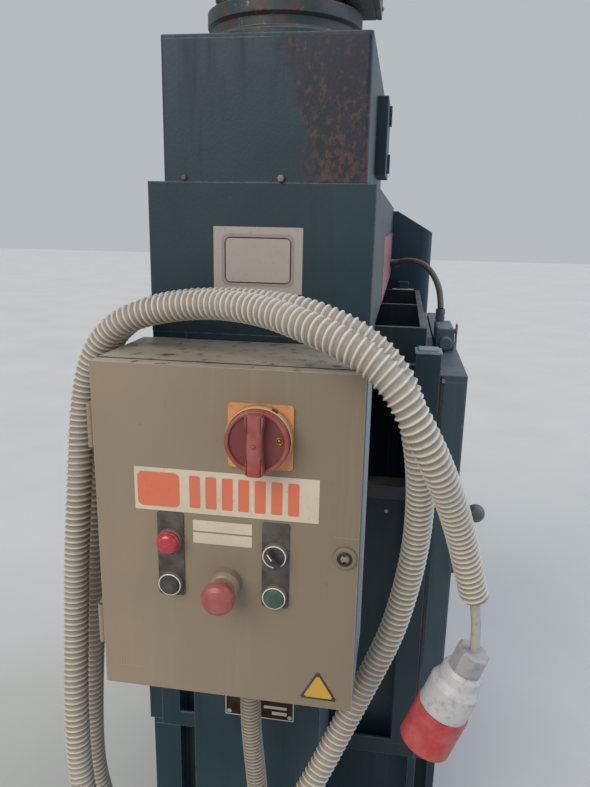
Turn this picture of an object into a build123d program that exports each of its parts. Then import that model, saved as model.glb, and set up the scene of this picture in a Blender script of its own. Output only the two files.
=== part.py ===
from build123d import *
import math
import os

# A side-loaded waste press. Millimetres, +Z up. The origin is on the floor, on the underside of the tie
# plate in the middle of the base. Y runs from the control end to the rear column, +X is the loading side.

# Plan of the machine
CHAMBER_FRONT_Y = -340.0
CHAMBER_LENGTH = 860.0
REAR_COLUMN_DEPTH = 140.0
COLUMN_GAP = 170.0
COLUMN_DEPTH = 150.0
COLUMN_WIDTH = 190.0
COLUMN_WALL = 5.0
BODY_WIDTH = 594.0
SIDE_THICKNESS = 42.0
SIDE_SKIN = 5.0

# Heights
SILL_HEIGHT = 80.0
CHAMBER_FLOOR_Z = 477.0
FLOOR_PLATE = 12.0
CHAMBER_HEIGHT = 774.0
BEAM_BOTTOM_Z = 1360.0
BEAM_HEIGHT = 186.0
BEAM_WIDTH = 282.0
BEAM_WALL = 6.0

# Base
SILL_WIDTH = 60.0
SILL_WALL = 5.0
LEFT_LEG_SETBACK = 8.0
FOOT_WIDTH = 440.0
TIE_PLATE_WIDTH = 120.0
TIE_PLATE = 12.0
ANCHOR_SPACING_X = 510.0
ANCHOR_HOLE_RADIUS = 7.0
ANCHOR_LUG_WIDTH = 80.0
ANCHOR_LUG_LENGTH = 70.0
ANCHOR_LUG_THICKNESS = 10.0
LEG_DEPTH = 60.0
LEG_WALL = 5.0
LEFT_LEG_WIDTH = 57.0
RIGHT_LEG_WIDTH = 54.0
LEG_SLOT = 23.0
LEG_SLOT_FROM_EDGE = 15.0
APRON_SETBACK = 40.0
APRON_THICKNESS = 5.0
FLOOR_RIB_HEIGHT = 40.0
FLOOR_RIB_THICKNESS = 10.0
FLOOR_RIB_COUNT = 3
FLOOR_RIB_INSET = 68.0
FLOOR_LINER = 2.0
FLOOR_LINER_GAP = 1.0

# Rear column with its guide rails
REAR_COLUMN_INSET = 42.0
REAR_COLUMN_WALL = 6.0
REAR_COLUMN_SHOULDER_Z = 1480.0
REAR_COLUMN_TOP_Z = 1538.0
REAR_COLUMN_TOP_WIDTH = 308.0
REAR_COLUMN_CORNER = 30.0
RAIL_FROM_EDGE = 75.0
RAIL_WIDTH = 30.0
RAIL_DEPTH = 18.0
RAIL_BOTTOM_Z = 640.0
RAIL_TOP_Z = 1340.0

# Walls of the chamber
REBATE_WIDTH = 27.0
FRONT_WALL_DEPTH = 48.0
FRONT_SKIN = 5.0
FIELD_PLATE = 8.0
LEFT_STILE_WIDTH = 38.0
RIGHT_STILE_WIDTH = 48.0
LIP_TOP_Z = 1040.0
LIP_HEIGHT = 24.0
BOTTOM_RAIL_TOP_Z = 500.0
CORNER_POST_WIDTH = 43.0
CORNER_POST_DEPTH = 45.0
CORNER_POST_PROUD = 10.0
CORNER_POST_TOP_Z = 1288.0
CORNER_POST_WALL = 4.0
GROOVE_COUNT = 5
GROOVE_WIDTH = 52.0
GROOVE_DEPTH = 2.0
GROOVE_END_MARGIN = 90.0

# Loading opening and door
OPENING_FRONT_POST = 57.0
OPENING_REAR_POST = 77.0
OPENING_BOTTOM_Z = 797.0
TOP_RAIL_HEIGHT = 50.0
COVER_THICKNESS = 4.0
COVER_EDGE = 2.5
COVER_BOTTOM_Z = 669.0
COVER_TOP_GAP = 11.0
COVER_CORNER = 10.0
DOOR_GAP = 3.0
DOOR_DEPTH = 37.0
DOOR_SKIN = 3.0
DOOR_RIB_COUNT = 2
DOOR_RIB_WIDTH = 40.0
DOOR_RIB_DEPTH = 24.0
DOOR_HINGE_AXIS_OUT = 9.0
DOOR_HINGE_PIN_RADIUS = 5.0
DOOR_HINGE_KNUCKLE_RADIUS = 8.0
DOOR_HINGE_LEAF = 4.0
DOOR_HINGE_LEAF_WIDTH = 45.0
DOOR_HINGE_HEIGHT = 80.0
DOOR_HINGE_END_KNUCKLE = 24.0
DOOR_HINGE_INSET = 30.0
RUNNING_FIT = 0.05
HINGE_END_GAP = 0.5

# Latch lever on the door
LEVER_FROM_DOOR_EDGE = 45.0
LEVER_PIVOT_Z = 885.0
LEVER_REACH = 110.0
LEVER_REST_ANGLE = 60.0
LEVER_BAR_WIDTH = 16.0
LEVER_BAR_THICKNESS = 8.0
LEVER_HUB_RADIUS = 13.0
LEVER_PIN_RADIUS = 6.0
LEVER_OFFSET = 7.5
LEVER_HUB_LENGTH = 11.0
KNOB_RADIUS = 17.0
KNOB_STUD_RADIUS = 5.0
KNOB_STANDOFF = 22.5
KEEPER_PLATE = 4.0
KEEPER_LEDGE = 6.0
KEEPER_FROM_OPENING = 17.0
KEEPER_WIDTH = 22.0
KEEPER_LIP_HEIGHT = 24.0
KEEPER_CLEARANCE = 0.7
KEEPER_SIDE_CLEARANCE = 2.5

# Safety switch on the top rail
SWITCH_WIDTH = 36.0
SWITCH_SETBACK = 8.0
SWITCH_Y = (-95.0, 35.0)
SWITCH_HEIGHT = 44.0
SWITCH_HEAD_RADIUS = 13.0
SWITCH_HEAD_LENGTH = 25.0
SWITCH_HEAD_Z = 17.0
PLUNGER_RADIUS = 4.0
PLUNGER_TIP_RADIUS = 5.0
PLUNGER_Y = 20.0
PLUNGER_HEIGHT = 24.0
PLUNGER_BORE_DEPTH = 16.0
PLUNGER_TRAVEL = 3.5
ACTUATOR_FOOT = 6.0
ACTUATOR_STRIP = 3.0
ACTUATOR_WIDTH = 24.0
ACTUATOR_REACH = 39.0
ACTUATOR_FOOT_HEIGHT = 58.0
BODY_GAP = 0.3
SWITCH_GLAND_FROM_SIDE = 11.0
SWITCH_GLAND_Y = 22.0
SWITCH_GLAND_RADIUS = 10.0
SWITCH_GLAND_LENGTH = 27.0

# Press
CYLINDER_Y = 105.0
BARREL_RADIUS = 59.0
BORE_RADIUS = 47.5
BARREL_BOTTOM_Z = 1346.0
BARREL_LENGTH = 724.0
BARREL_CAP = 16.0
BARREL_HOLE_CLEARANCE = 0.5
FLANGE_SIDE = 200.0
FLANGE_THICKNESS = 25.0
PORT_RADIUS = 14.0
PORT_PROUD = 14.0
PORT_OFFSET_X = 20.0
LOWER_PORT_HEIGHT = 66.0
UPPER_PORT_DROP = 30.0
GLAND_BUSH_LENGTH = 40.0
GLAND_HEAD = 6.0
GLAND_HEAD_RADIUS = 55.0
ROD_RADIUS = 30.0
PISTON_TOP_GAP = 20.0
PISTON_LENGTH = 60.0
PLATE_SIDE_GAP = 5.0
PLATE_FRONT_GAP = 7.0
PLATE_REAR_GAP = 7.0
PLATE_BOTTOM_Z = 1240.0
PLATE_THICKNESS = 15.0
PLATE_RIB_HEIGHT = 65.0
PLATE_RIB_THICKNESS = 12.0
PLATE_RIB_INSET = 30.0
PLATE_INNER_RIB_X = 90.0
PLATE_CROSS_RIBS = 3
ROD_SEAT_RADIUS = 55.0
ROD_SEAT_DEPTH = 40.0
SHOE_WIDTH = 60.0
SHOE_FRONT_WALL = 16.0
SHOE_CLEARANCE = 0.3
SHOE_REAR_GAP = 4.0

# Oil tank and motor
TANK_X = (-120.5, 129.5)
TANK_LENGTH = 415.0
TANK_HEIGHT = 160.0
TANK_WALL = 3.0
TANK_CORNER = 5.0
LID_THICKNESS = 4.0
SIDE_COVER_Y = (-490.0, -380.0)
SIDE_COVER_Z = (1567.0, 1671.0)
SIDE_COVER_PROUD = 15.0
SIDE_COVER_WALL = 2.0
COVER_LUG_HEIGHT = 26.0
COVER_LUG_WIDTH = 18.0
COVER_LUG_PROUD = 4.0
MOTOR_X = 4.0
MOTOR_Y = -520.0
ADAPTOR_RADIUS = 102.0
ADAPTOR_WAIST_RADIUS = 96.0
ADAPTOR_BORE_RADIUS = 45.0
ADAPTOR_HEIGHT = 50.0
ADAPTOR_RIM = 16.0
MOTOR_HEIGHT = 250.0
MOTOR_CORE_RADIUS = 82.0
MOTOR_FIN_RADIUS = 92.0
MOTOR_FIN_COUNT = 28
MOTOR_FIN_THICKNESS = 3.0
MOTOR_SHIELD = 14.0
STATOR_BORE_RADIUS = 56.0
ROTOR_RADIUS = 55.0
SHAFT_RADIUS = 12.0
COWL_RADIUS = 95.0
COWL_HEIGHT = 56.0
COWL_WALL = 2.0
COWL_SLOTS = 12
FAN_RADIUS = 80.0
FAN_BLADES = 7
TERMINAL_BOX_Y = (-568.0, -472.0)
TERMINAL_BOX_Z = (1768.0, 1868.0)
TERMINAL_BOX_DEPTH = 37.0
TERMINAL_BOX_X = 92.0
PUMP_RADIUS = 52.0
PUMP_FLANGE_RADIUS = 62.0
PUMP_LENGTH = 96.0
PUMP_FLANGE = 10.0
SUCTION_RADIUS = 12.0
SUCTION_LENGTH = 38.0
SHAFT_HOLE_RADIUS = 20.0
FILLER_XY = (-85.0, -385.0)
FILLER_NECK_RADIUS = 19.0
FILLER_CAP_RADIUS = 24.0
FILLER_HEIGHT = 38.0
VALVE_BLOCK_X = (-45.0, 45.0)
VALVE_BLOCK_Y = (-350.0, -270.0)
VALVE_BLOCK_HEIGHT = 80.0
COIL_RADIUS = 18.0
COIL_LENGTH = 52.0
COIL_HEIGHT = 55.0
LOWER_PIPE_HEIGHT = 22.0
UPPER_PIPE_HEIGHT = 52.0
LOWER_PIPE_STANDOFF = 74.0
UPPER_PIPE_STANDOFF = 94.0
PIPE_RADIUS = 7.0
PIPE_BORE_RADIUS = 5.0
PIPE_BEND = 30.0

# Control enclosure
BOX_X = (-153.0, 147.0)
BOX_Z = (950.0, 1351.0)
BOX_FRONT_Y = -801.5
BOX_WALL = 1.5
BOX_FLANGE = 4.0
ENCLOSURE_DOOR_DEPTH = 18.0
ENCLOSURE_DOOR_GAP = 0.5
ENCLOSURE_HINGE_AXIS_OUT = 5.5
ENCLOSURE_HINGE_AXIS_Y = -811.0
ENCLOSURE_HINGE_RADIUS = 4.5
ENCLOSURE_PIN_RADIUS = 2.0
ENCLOSURE_HINGE_Z = (1025.0, 1275.0)
ENCLOSURE_HINGE_LENGTH = 50.0
ENCLOSURE_HINGE_MIDDLE = 20.0
PLATE_STANDOFF = 11.5
MOUNTING_PLATE = 2.0
MOUNTING_PLATE_INSET = 16.0
STANDOFF_RADIUS = 5.0
CONTACTOR_SIZE = (45.0, 60.0, 76.0)
CONTACTOR_STEP_DEPTH = 20.0
CONTACTOR_STEP_HEIGHT = 15.0
CONTACTOR_X = (-105.0, -57.0, -9.0)
CONTACTOR_Z = 1225.0
TRANSFORMER_SIZE = (78.0, 58.0, 70.0)
TRANSFORMER_X = 85.0
TERMINAL_STRIP_SIZE = (220.0, 42.0, 45.0)
TERMINAL_STRIP_Z = 1025.0

# Devices on the enclosure door, placed as (x, z) on its face
LAMP_XZ = (-65.5, 1149.0)
BLACK_BUTTON_XZ = (-65.5, 1096.0)
SELECTOR_XZ = (55.5, 1143.0)
GREEN_BUTTON_XZ = (55.5, 1092.0)
EMERGENCY_STOP_XZ = (-1.0, 1102.0)
LOCK_XZ = (132.5, 1145.6)
MAIN_SWITCH_XZ = (37.8, 1278.5)
LEGEND_XZ = ((-65.5, 1130.7), (55.5, 1128.0))
LEGEND_SIZE = (31.0, 103.0)
LEGEND_THICKNESS = 1.5
LEGEND_CORNER = 3.0
BEZEL_RADIUS = 14.0
BEZEL_PROUD = 7.5
BEZEL_FLOOR = 1.5
BEZEL_THREAD_RADIUS = 11.0
BEZEL_THREAD_LENGTH = 14.0
DEVICE_CLEARANCE = 0.1
BUTTON_RADIUS = 11.5
BUTTON_PROUD = 3.0
BUTTON_TRAVEL = 3.5
STEM_RADIUS = 5.0
STEM_LENGTH = 26.0
GRIP_WIDTH = 6.5
GRIP_PROUD = 10.0
SELECTOR_POINTER_ANGLE = 36.0
CONTACT_BLOCK_SIDE = 30.0
CONTACT_BLOCK_DEPTH = 44.0
CONTACT_POCKET_DEPTH = 26.0
COLLAR_RADIUS = 17.5
COLLAR_PROUD = 16.0
MUSHROOM_RADIUS = 18.8
MUSHROOM_PROUD = 48.0
MUSHROOM_THICKNESS = 17.0
MUSHROOM_STEM_RADIUS = 8.0
MUSHROOM_STEM_LENGTH = 46.0
SWITCH_PLATE_SIZE = (71.0, 72.0)
SWITCH_PLATE_THICKNESS = 3.0
SWITCH_DISC_RADIUS = 34.5
SWITCH_DISC_THICKNESS = 19.0
SWITCH_GRIP_WIDTH = 16.0
SWITCH_GRIP_PROUD = 38.0
SWITCH_SHAFT_RADIUS = 6.0
SWITCH_SHAFT_LENGTH = 40.0
SWITCH_BODY_SIDE = 52.0
SWITCH_BODY_DEPTH = 48.0
LOCK_FACE_RADIUS = 13.0
LOCK_FACE_THICKNESS = 4.0
LOCK_BARREL_RADIUS = 9.0
LOCK_NUT_RADIUS = 11.0
LOCK_CAM_RADIUS = 12.3
LOCK_CAM_WIDTH = 9.0
LOCK_CAM_THICKNESS = 2.0
LOCK_CAM_BACK = 3.0
LOCK_SLOT = (3.0, 12.0)

# Conduits, cable and plug: each route is a list chosen by hand
MOTOR_CONDUIT_RADIUS = 14.0
MOTOR_CONDUIT_ROUTE = [
    (9.4, -740.0, 905.0), (9.4, -740.0, 868.0), (12.0, -740.0, 822.0), (17.5, -741.0, 772.0),
    (22.0, -741.0, 715.0), (24.5, -738.0, 656.0), (24.5, -731.0, 598.0), (22.0, -720.0, 545.0),
    (20.0, -712.0, 503.0), (20.0, -712.0, 465.0)]
MOTOR_GLAND_RADIUS = 18.0
MOTOR_GLAND_THREAD_RADIUS = 12.0
SUPPLY_CONDUIT_RADIUS = 17.0
SUPPLY_CONDUIT_ROUTE = [
    (-143.0, -590.0, 235.0), (-143.0, -590.0, 290.0), (-153.0, -601.0, 360.0), (-178.0, -624.0, 435.0),
    (-211.0, -652.0, 510.0), (-236.0, -676.0, 592.0), (-247.0, -688.0, 680.0), (-245.0, -691.0, 772.0),
    (-239.0, -691.0, 862.0), (-232.5, -689.0, 950.0), (-228.0, -685.5, 1034.0), (-224.5, -682.5, 1123.5),
    (-225.5, -670.5, 1211.5), (-214.5, -669.0, 1297.5),
    (-186.5, -683.5, 1355.5), (-146.0, -696.0, 1387.0), (-97.5, -707.0, 1401.5), (-41.0, -720.0, 1408.5),
    (23.5, -742.5, 1410.0), (76.0, -769.5, 1406.0), (119.5, -786.0, 1394.0), (155.0, -793.5, 1374.5),
    (181.5, -796.5, 1344.0), (196.0, -794.0, 1306.5), (207.0, -781.5, 1256.5), (212.5, -753.0, 1192.0),
    (212.0, -727.0, 1120.5), (203.0, -715.0, 1049.5), (189.0, -712.5, 985.5), (166.0, -714.0, 925.0),
    (140.0, -722.0, 865.0), (101.0, -743.0, 778.0), (55.5, -769.0, 694.5), (-8.5, -785.0, 628.5),
    (-83.0, -796.0, 601.0), (-155.0, -791.0, 614.0), (-206.0, -776.5, 661.0), (-231.0, -759.5, 728.5),
    (-233.5, -755.5, 846.0), (-235.5, -732.0, 979.5), (-226.5, -734.5, 1088.5), (-220.0, -729.5, 1172.0),
    (-218.5, -719.0, 1241.5), (-209.5, -717.5, 1300.0), (-186.0, -727.5, 1351.0), (-147.0, -740.5, 1384.5),
    (-96.5, -750.0, 1401.0), (-29.0, -769.0, 1411.5), (37.0, -806.0, 1411.0), (84.5, -837.0, 1401.5),
    (123.0, -855.0, 1389.5), (155.0, -864.0, 1373.5), (179.5, -869.5, 1350.0), (198.0, -869.5, 1318.5),
    (216.5, -860.0, 1282.0), (232.0, -839.0, 1244.0), (247.5, -814.5, 1202.0), (262.0, -790.0, 1152.0),
    (280.0, -770.0, 1086.0)]
CABLE_RADIUS = 5.8
CABLE_ROUTE = [(280.0, -770.0, 1086.0), (284.5, -765.5, 1060.0), (287.0, -762.5, 1036.0), (288.0, -760.0, 1009.0)]
SWITCH_CONDUIT_RADIUS = 7.0
SWITCH_CONDUIT_ROUTE = [
    (158.0, 384.0, 1398.0), (158.0, 358.0, 1398.0), (167.0, 322.0, 1406.0), (189.0, 280.0, 1413.0),
    (216.0, 220.0, 1412.0), (238.0, 150.0, 1402.0), (254.0, 86.0, 1379.0), (263.0, 44.0, 1351.0),
    (264.0, 22.0, 1322.0)]
BEAM_ELBOW_RADIUS = 10.0
SUPPLY_ELBOW_RADIUS = 22.0
PLUG_BACK = (288.0, -760.0, 1009.0)
PLUG_AXIS = (-50.0, 0.0, -136.0)
PLUG_NUT_RADIUS = 21.0
PLUG_NUT_LENGTH = 28.0
PLUG_NUT_FLATS = 8
PLUG_NECK_RADIUS = 25.0
PLUG_BODY_RADIUS = 31.0
PLUG_BODY_LENGTH = 62.0
PLUG_NECK_LENGTH = 16.0
PLUG_TAPER_LENGTH = 10.0
PLUG_SHOULDER = 5.0
PLUG_COLLAR_RADIUS = 33.0
PLUG_COLLAR_LENGTH = 55.0
PLUG_COLLAR_WALL = 5.0
PLUG_INSERT_DEPTH = 30.0
PLUG_PIN_CIRCLE = 16.0
PLUG_PIN_RADIUS = 3.5
PLUG_PIN_COUNT = 5
PLUG_PIN_LENGTH = 26.0
PLUG_KEY_WIDTH = 8.0

# Faces and lines that several pieces share
CHAMBER_REAR_Y = CHAMBER_FRONT_Y + CHAMBER_LENGTH
REAR_END_Y = CHAMBER_REAR_Y + REAR_COLUMN_DEPTH
COLUMN_REAR_Y = CHAMBER_FRONT_Y - COLUMN_GAP
FRONT_END_Y = COLUMN_REAR_Y - COLUMN_DEPTH
OUTER_X = BODY_WIDTH / 2
REAR_COLUMN_WIDTH = BODY_WIDTH - 2 * REAR_COLUMN_INSET
RAIL_OFFSET_X = REAR_COLUMN_WIDTH / 2 - RAIL_FROM_EDGE
INNER_X = OUTER_X - SIDE_THICKNESS
FLOOR_UNDERSIDE_Z = CHAMBER_FLOOR_Z - FLOOR_PLATE
CHAMBER_TOP_Z = CHAMBER_FLOOR_Z + CHAMBER_HEIGHT
BEAM_TOP_Z = BEAM_BOTTOM_Z + BEAM_HEIGHT
LEFT_EDGE_X = -OUTER_X + LEFT_LEG_SETBACK
FRONT_WALL_REAR_Y = CHAMBER_FRONT_Y + FRONT_WALL_DEPTH
STILE_LEFT_X = -OUTER_X + REBATE_WIDTH
FIELD_LEFT_X = STILE_LEFT_X + LEFT_STILE_WIDTH
FIELD_RIGHT_X = INNER_X - RIGHT_STILE_WIDTH
OPENING_FRONT_Y = CHAMBER_FRONT_Y + OPENING_FRONT_POST
OPENING_REAR_Y = CHAMBER_REAR_Y - OPENING_REAR_POST
OPENING_TOP_Z = CHAMBER_TOP_Z - TOP_RAIL_HEIGHT
DOOR_FRONT_Y = OPENING_FRONT_Y + DOOR_GAP
DOOR_REAR_Y = OPENING_REAR_Y - DOOR_GAP
DOOR_BOTTOM_Z = OPENING_BOTTOM_Z + DOOR_GAP
DOOR_TOP_Z = OPENING_TOP_Z - DOOR_GAP
DOOR_HINGE_X = OUTER_X + DOOR_HINGE_AXIS_OUT
DOOR_HINGE_Y = OPENING_REAR_Y + DOOR_GAP
DOOR_HINGE_Z = (DOOR_BOTTOM_Z + DOOR_HINGE_INSET, DOOR_TOP_Z - DOOR_HINGE_INSET - DOOR_HINGE_HEIGHT)
LEVER_PIVOT_Y = DOOR_FRONT_Y + LEVER_FROM_DOOR_EDGE
LEVER_X = OUTER_X + LEVER_OFFSET
TANK_TOP_Z = BEAM_TOP_Z + TANK_HEIGHT
LID_TOP_Z = TANK_TOP_Z + LID_THICKNESS
MOTOR_BOTTOM_Z = LID_TOP_Z + ADAPTOR_HEIGHT
MOTOR_TOP_Z = MOTOR_BOTTOM_Z + MOTOR_HEIGHT
TANK_REAR_Y = FRONT_END_Y + TANK_LENGTH
DOOR_BACK_Y = BOX_FRONT_Y - ENCLOSURE_DOOR_GAP
DOOR_FACE_Y = DOOR_BACK_Y - ENCLOSURE_DOOR_DEPTH
ENCLOSURE_HINGE_X = BOX_X[0] - ENCLOSURE_HINGE_AXIS_OUT
SWITCH_TOP_Z = CHAMBER_TOP_Z + SWITCH_HEIGHT
SWITCH_X = (OUTER_X - SWITCH_SETBACK - SWITCH_WIDTH, OUTER_X - SWITCH_SETBACK)
ACTUATOR_BOTTOM_Z = DOOR_TOP_Z - ACTUATOR_FOOT_HEIGHT
ACTUATOR_TOP_Z = CHAMBER_TOP_Z + ACTUATOR_REACH
PLATE_TOP_Z = PLATE_BOTTOM_Z + PLATE_THICKNESS
PLATE_FRONT_Y = FRONT_WALL_REAR_Y + PLATE_FRONT_GAP
PLATE_REAR_Y = CHAMBER_REAR_Y - RAIL_DEPTH - PLATE_REAR_GAP
RIB_TOP_Z = PLATE_TOP_Z + PLATE_RIB_HEIGHT
PLATE_HALF_WIDTH = INNER_X - PLATE_SIDE_GAP
PLATE_OUTER_RIB_X = PLATE_HALF_WIDTH - PLATE_RIB_INSET
PLATE_RIB_X = (-PLATE_OUTER_RIB_X, -PLATE_INNER_RIB_X, PLATE_INNER_RIB_X, PLATE_OUTER_RIB_X)
BORE_TOP_Z = BARREL_BOTTOM_Z + BARREL_LENGTH
ROD_BOTTOM_Z = RIB_TOP_Z - ROD_SEAT_DEPTH
PISTON_BOTTOM_Z = BORE_TOP_Z - PISTON_TOP_GAP - PISTON_LENGTH
LOWER_PORT_Z = BEAM_TOP_Z + LOWER_PORT_HEIGHT
UPPER_PORT_Z = BORE_TOP_Z - UPPER_PORT_DROP


def block(x, y, z):
    """A box between two corners, each argument being (low, high)."""
    size = (x[1] - x[0], y[1] - y[0], z[1] - z[0])
    return Pos((x[0] + x[1]) / 2, (y[0] + y[1]) / 2, (z[0] + z[1]) / 2) * Box(*size)


def rod(start, end, radius):
    """A round bar between two points."""
    axis = Vector(*end) - Vector(*start)
    middle = (Vector(*end) + Vector(*start)) / 2
    return Plane(origin=middle, z_dir=axis) * Cylinder(radius, axis.length)


def shrink(limits, wall):
    return (limits[0] + wall, limits[1] - wall)


def channel_down(x, y, z, wall):
    """A folded channel that is open beneath."""
    return block(x, y, z) - block(shrink(x, wall), shrink(y, wall), (z[0] - wall, z[1] - wall))


def tube_along_z(x, y, z, wall):
    return block(x, y, z) - block(shrink(x, wall), shrink(y, wall), (z[0] - wall, z[1] + wall))


def tube_along_y(x, y, z, wall):
    return block(x, y, z) - block(shrink(x, wall), (y[0] - wall, y[1] + wall), shrink(z, wall))


def turned(profile, x, y, z=0.0):
    """A solid of revolution about a vertical axis, from (radius, height) points."""
    outline = Polyline(*[(radius, 0, height) for radius, height in profile], close=True)
    return Pos(x, y, z) * revolve(make_face(outline), axis=Axis.Z)


def turned_on_door(profile, xz, seat_y):
    """A solid of revolution that stands out of the door; heights are measured outwards from its seat."""
    solid = turned(profile, 0, 0)
    return Pos(xz[0], seat_y, xz[1]) * (Rot(90, 0, 0) * solid)


def round_vertical_edges(solid, radius, y=None):
    edges = solid.edges().filter_by(Axis.Z)
    if y is not None:
        edges = edges.filter_by(lambda edge: abs(edge.center().Y - y) < 0.01)
    return fillet(edges, radius)


def fuse(pieces):
    solid = pieces[0]
    for piece in pieces[1:]:
        solid = solid + piece
    return solid


def cord_tube(name, points, radius):
    """A tube of straight runs joined by arcs, each as large as its two runs allow."""
    corners = [Vector(*point) for point in points]
    radii = []
    for before, corner, after in zip(corners, corners[1:], corners[2:]):
        turn = math.radians((corner - before).get_angle(after - corner))
        shorter = min((corner - before).length, (after - corner).length)
        radii.append(0.45 * shorter / math.tan(turn / 2))
    path = FilletPolyline(*corners, radius=radii)
    start = Plane(origin=corners[0], z_dir=corners[1] - corners[0])
    tube = sweep(start * Circle(radius), path=path)
    expected = math.pi * radius ** 2 * path.length
    print(f"{name}: length {path.length:.0f}, radii {min(radii):.0f} to {max(radii):.0f}, "
          f"volume {tube.volume / expected:.4f} of section times length")
    return tube


# Structure

def base_frame():
    left = (LEFT_EDGE_X, LEFT_EDGE_X + SILL_WIDTH)
    right = (OUTER_X - SILL_WIDTH, OUTER_X)
    between = (left[1], right[0])
    height = (0, SILL_HEIGHT)
    pieces = [tube_along_y(side, (CHAMBER_FRONT_Y, REAR_END_Y), height, SILL_WALL) for side in (left, right)]
    front = (CHAMBER_FRONT_Y, CHAMBER_FRONT_Y + LEG_DEPTH)
    rear = (CHAMBER_REAR_Y, REAR_END_Y)
    for depth in (front, rear):
        pieces.append(channel_down(between, depth, height, SILL_WALL))
    tie = (-TIE_PLATE_WIDTH / 2, TIE_PLATE_WIDTH / 2)
    pieces.append(block(between, tie, (0, TIE_PLATE)))
    half_column = (-COLUMN_WIDTH / 2, COLUMN_WIDTH / 2)
    pieces.append(channel_down(half_column, (COLUMN_REAR_Y, CHAMBER_FRONT_Y), height, SILL_WALL))
    foot = (FRONT_END_Y, COLUMN_REAR_Y)
    pieces.append(channel_down((-FOOT_WIDTH / 2, FOOT_WIDTH / 2), foot, height, SILL_WALL))
    return fuse(pieces + anchor_lugs())


def anchor_lugs():
    """Four lugs with a hole each, two at the ends of the foot and two behind the sills."""
    thickness = (0, ANCHOR_LUG_THICKNESS)
    front_y = (FRONT_END_Y + COLUMN_REAR_Y) / 2
    lugs = []
    for side in (-1, 1):
        x = side * ANCHOR_SPACING_X / 2
        wide = (x - ANCHOR_LUG_WIDTH / 2, x + ANCHOR_LUG_WIDTH / 2)
        rear_y = REAR_END_Y + ANCHOR_LUG_LENGTH / 2
        inner_end = side * FOOT_WIDTH / 2
        outer_end = side * (ANCHOR_SPACING_X / 2 + ANCHOR_LUG_LENGTH / 2)
        front = block(sorted((inner_end, outer_end)),
                      (front_y - ANCHOR_LUG_WIDTH / 2, front_y + ANCHOR_LUG_WIDTH / 2), thickness)
        rear = block(wide, (REAR_END_Y, REAR_END_Y + ANCHOR_LUG_LENGTH), thickness)
        for lug, y in ((front, front_y), (rear, rear_y)):
            lugs.append(lug - rod((x, y, -1), (x, y, ANCHOR_LUG_THICKNESS + 1), ANCHOR_HOLE_RADIUS))
    return lugs


def front_legs():
    """A channel open to the rear, a lipped channel open to the front, and a set-back apron between them."""
    depth = (CHAMBER_FRONT_Y, CHAMBER_FRONT_Y + LEG_DEPTH)
    height = (SILL_HEIGHT, FLOOR_UNDERSIDE_Z)
    through = (SILL_HEIGHT - 1, FLOOR_UNDERSIDE_Z + 1)
    left_x = (LEFT_EDGE_X, LEFT_EDGE_X + LEFT_LEG_WIDTH)
    left = block(left_x, depth, height)
    left -= block(shrink(left_x, LEG_WALL), (depth[0] + LEG_WALL, depth[1] + 1), through)
    right_x = (OUTER_X - RIGHT_LEG_WIDTH, OUTER_X)
    slot = (OUTER_X - LEG_SLOT_FROM_EDGE - LEG_SLOT, OUTER_X - LEG_SLOT_FROM_EDGE)
    right = tube_along_z(right_x, depth, height, LEG_WALL)
    right -= block(slot, (depth[0] - 1, depth[0] + LEG_WALL + 1), through)
    apron_y = CHAMBER_FRONT_Y + APRON_SETBACK
    apron = block((left_x[1], right_x[0]), (apron_y, apron_y + APRON_THICKNESS), height)
    return left, right, apron


def front_column():
    width = (-COLUMN_WIDTH / 2, COLUMN_WIDTH / 2)
    return tube_along_z(width, (FRONT_END_Y, COLUMN_REAR_Y), (SILL_HEIGHT, BEAM_BOTTOM_Z), COLUMN_WALL)


def rear_column_section(inset, bottom_z):
    """The column's outline with sloping shoulders, set in all round by the wall."""
    half = REAR_COLUMN_WIDTH / 2
    slope = math.atan2(REAR_COLUMN_TOP_Z - REAR_COLUMN_SHOULDER_Z, half - REAR_COLUMN_TOP_WIDTH / 2)
    drop = inset / math.cos(slope)
    side = half - inset
    top = REAR_COLUMN_TOP_Z - inset
    shoulder = REAR_COLUMN_SHOULDER_Z + inset * math.tan(slope) - drop
    flat = half - (top - REAR_COLUMN_SHOULDER_Z + drop) / math.tan(slope)
    depth = (CHAMBER_REAR_Y + inset, REAR_END_Y - inset)
    corners = [(-side, bottom_z), (-side, shoulder), (-flat, top), (flat, top), (side, shoulder), (side, bottom_z)]
    outline = Polyline(*[(x, depth[0], z) for x, z in corners], close=True)
    solid = extrude(make_face(outline), amount=depth[1] - depth[0], dir=(0, 1, 0))
    return round_vertical_edges(solid, REAR_COLUMN_CORNER - inset, y=depth[0])


def rear_column():
    outer = rear_column_section(0, SILL_HEIGHT)
    inner = rear_column_section(REAR_COLUMN_WALL, SILL_HEIGHT - REAR_COLUMN_WALL)
    rails = []
    for side in (-1, 1):
        x = side * RAIL_OFFSET_X
        rails.append(block((x - RAIL_WIDTH / 2, x + RAIL_WIDTH / 2),
                           (CHAMBER_REAR_Y - RAIL_DEPTH, CHAMBER_REAR_Y), (RAIL_BOTTOM_Z, RAIL_TOP_Z)))
    return fuse([outer - inner] + rails)


def head_beam():
    """A box section closed at the front, standing on the column and welded to the rear column's face."""
    x = (-BEAM_WIDTH / 2, BEAM_WIDTH / 2)
    z = (BEAM_BOTTOM_Z, BEAM_TOP_Z)
    beam = block(x, (FRONT_END_Y, CHAMBER_REAR_Y), z)
    beam -= block(shrink(x, BEAM_WALL), (FRONT_END_Y + BEAM_WALL, CHAMBER_REAR_Y + 1), shrink(z, BEAM_WALL))
    hole = BARREL_RADIUS + BARREL_HOLE_CLEARANCE
    return beam - rod((0, CYLINDER_Y, z[0] - 1), (0, CYLINDER_Y, z[1] + 1), hole)


# Chamber

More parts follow.
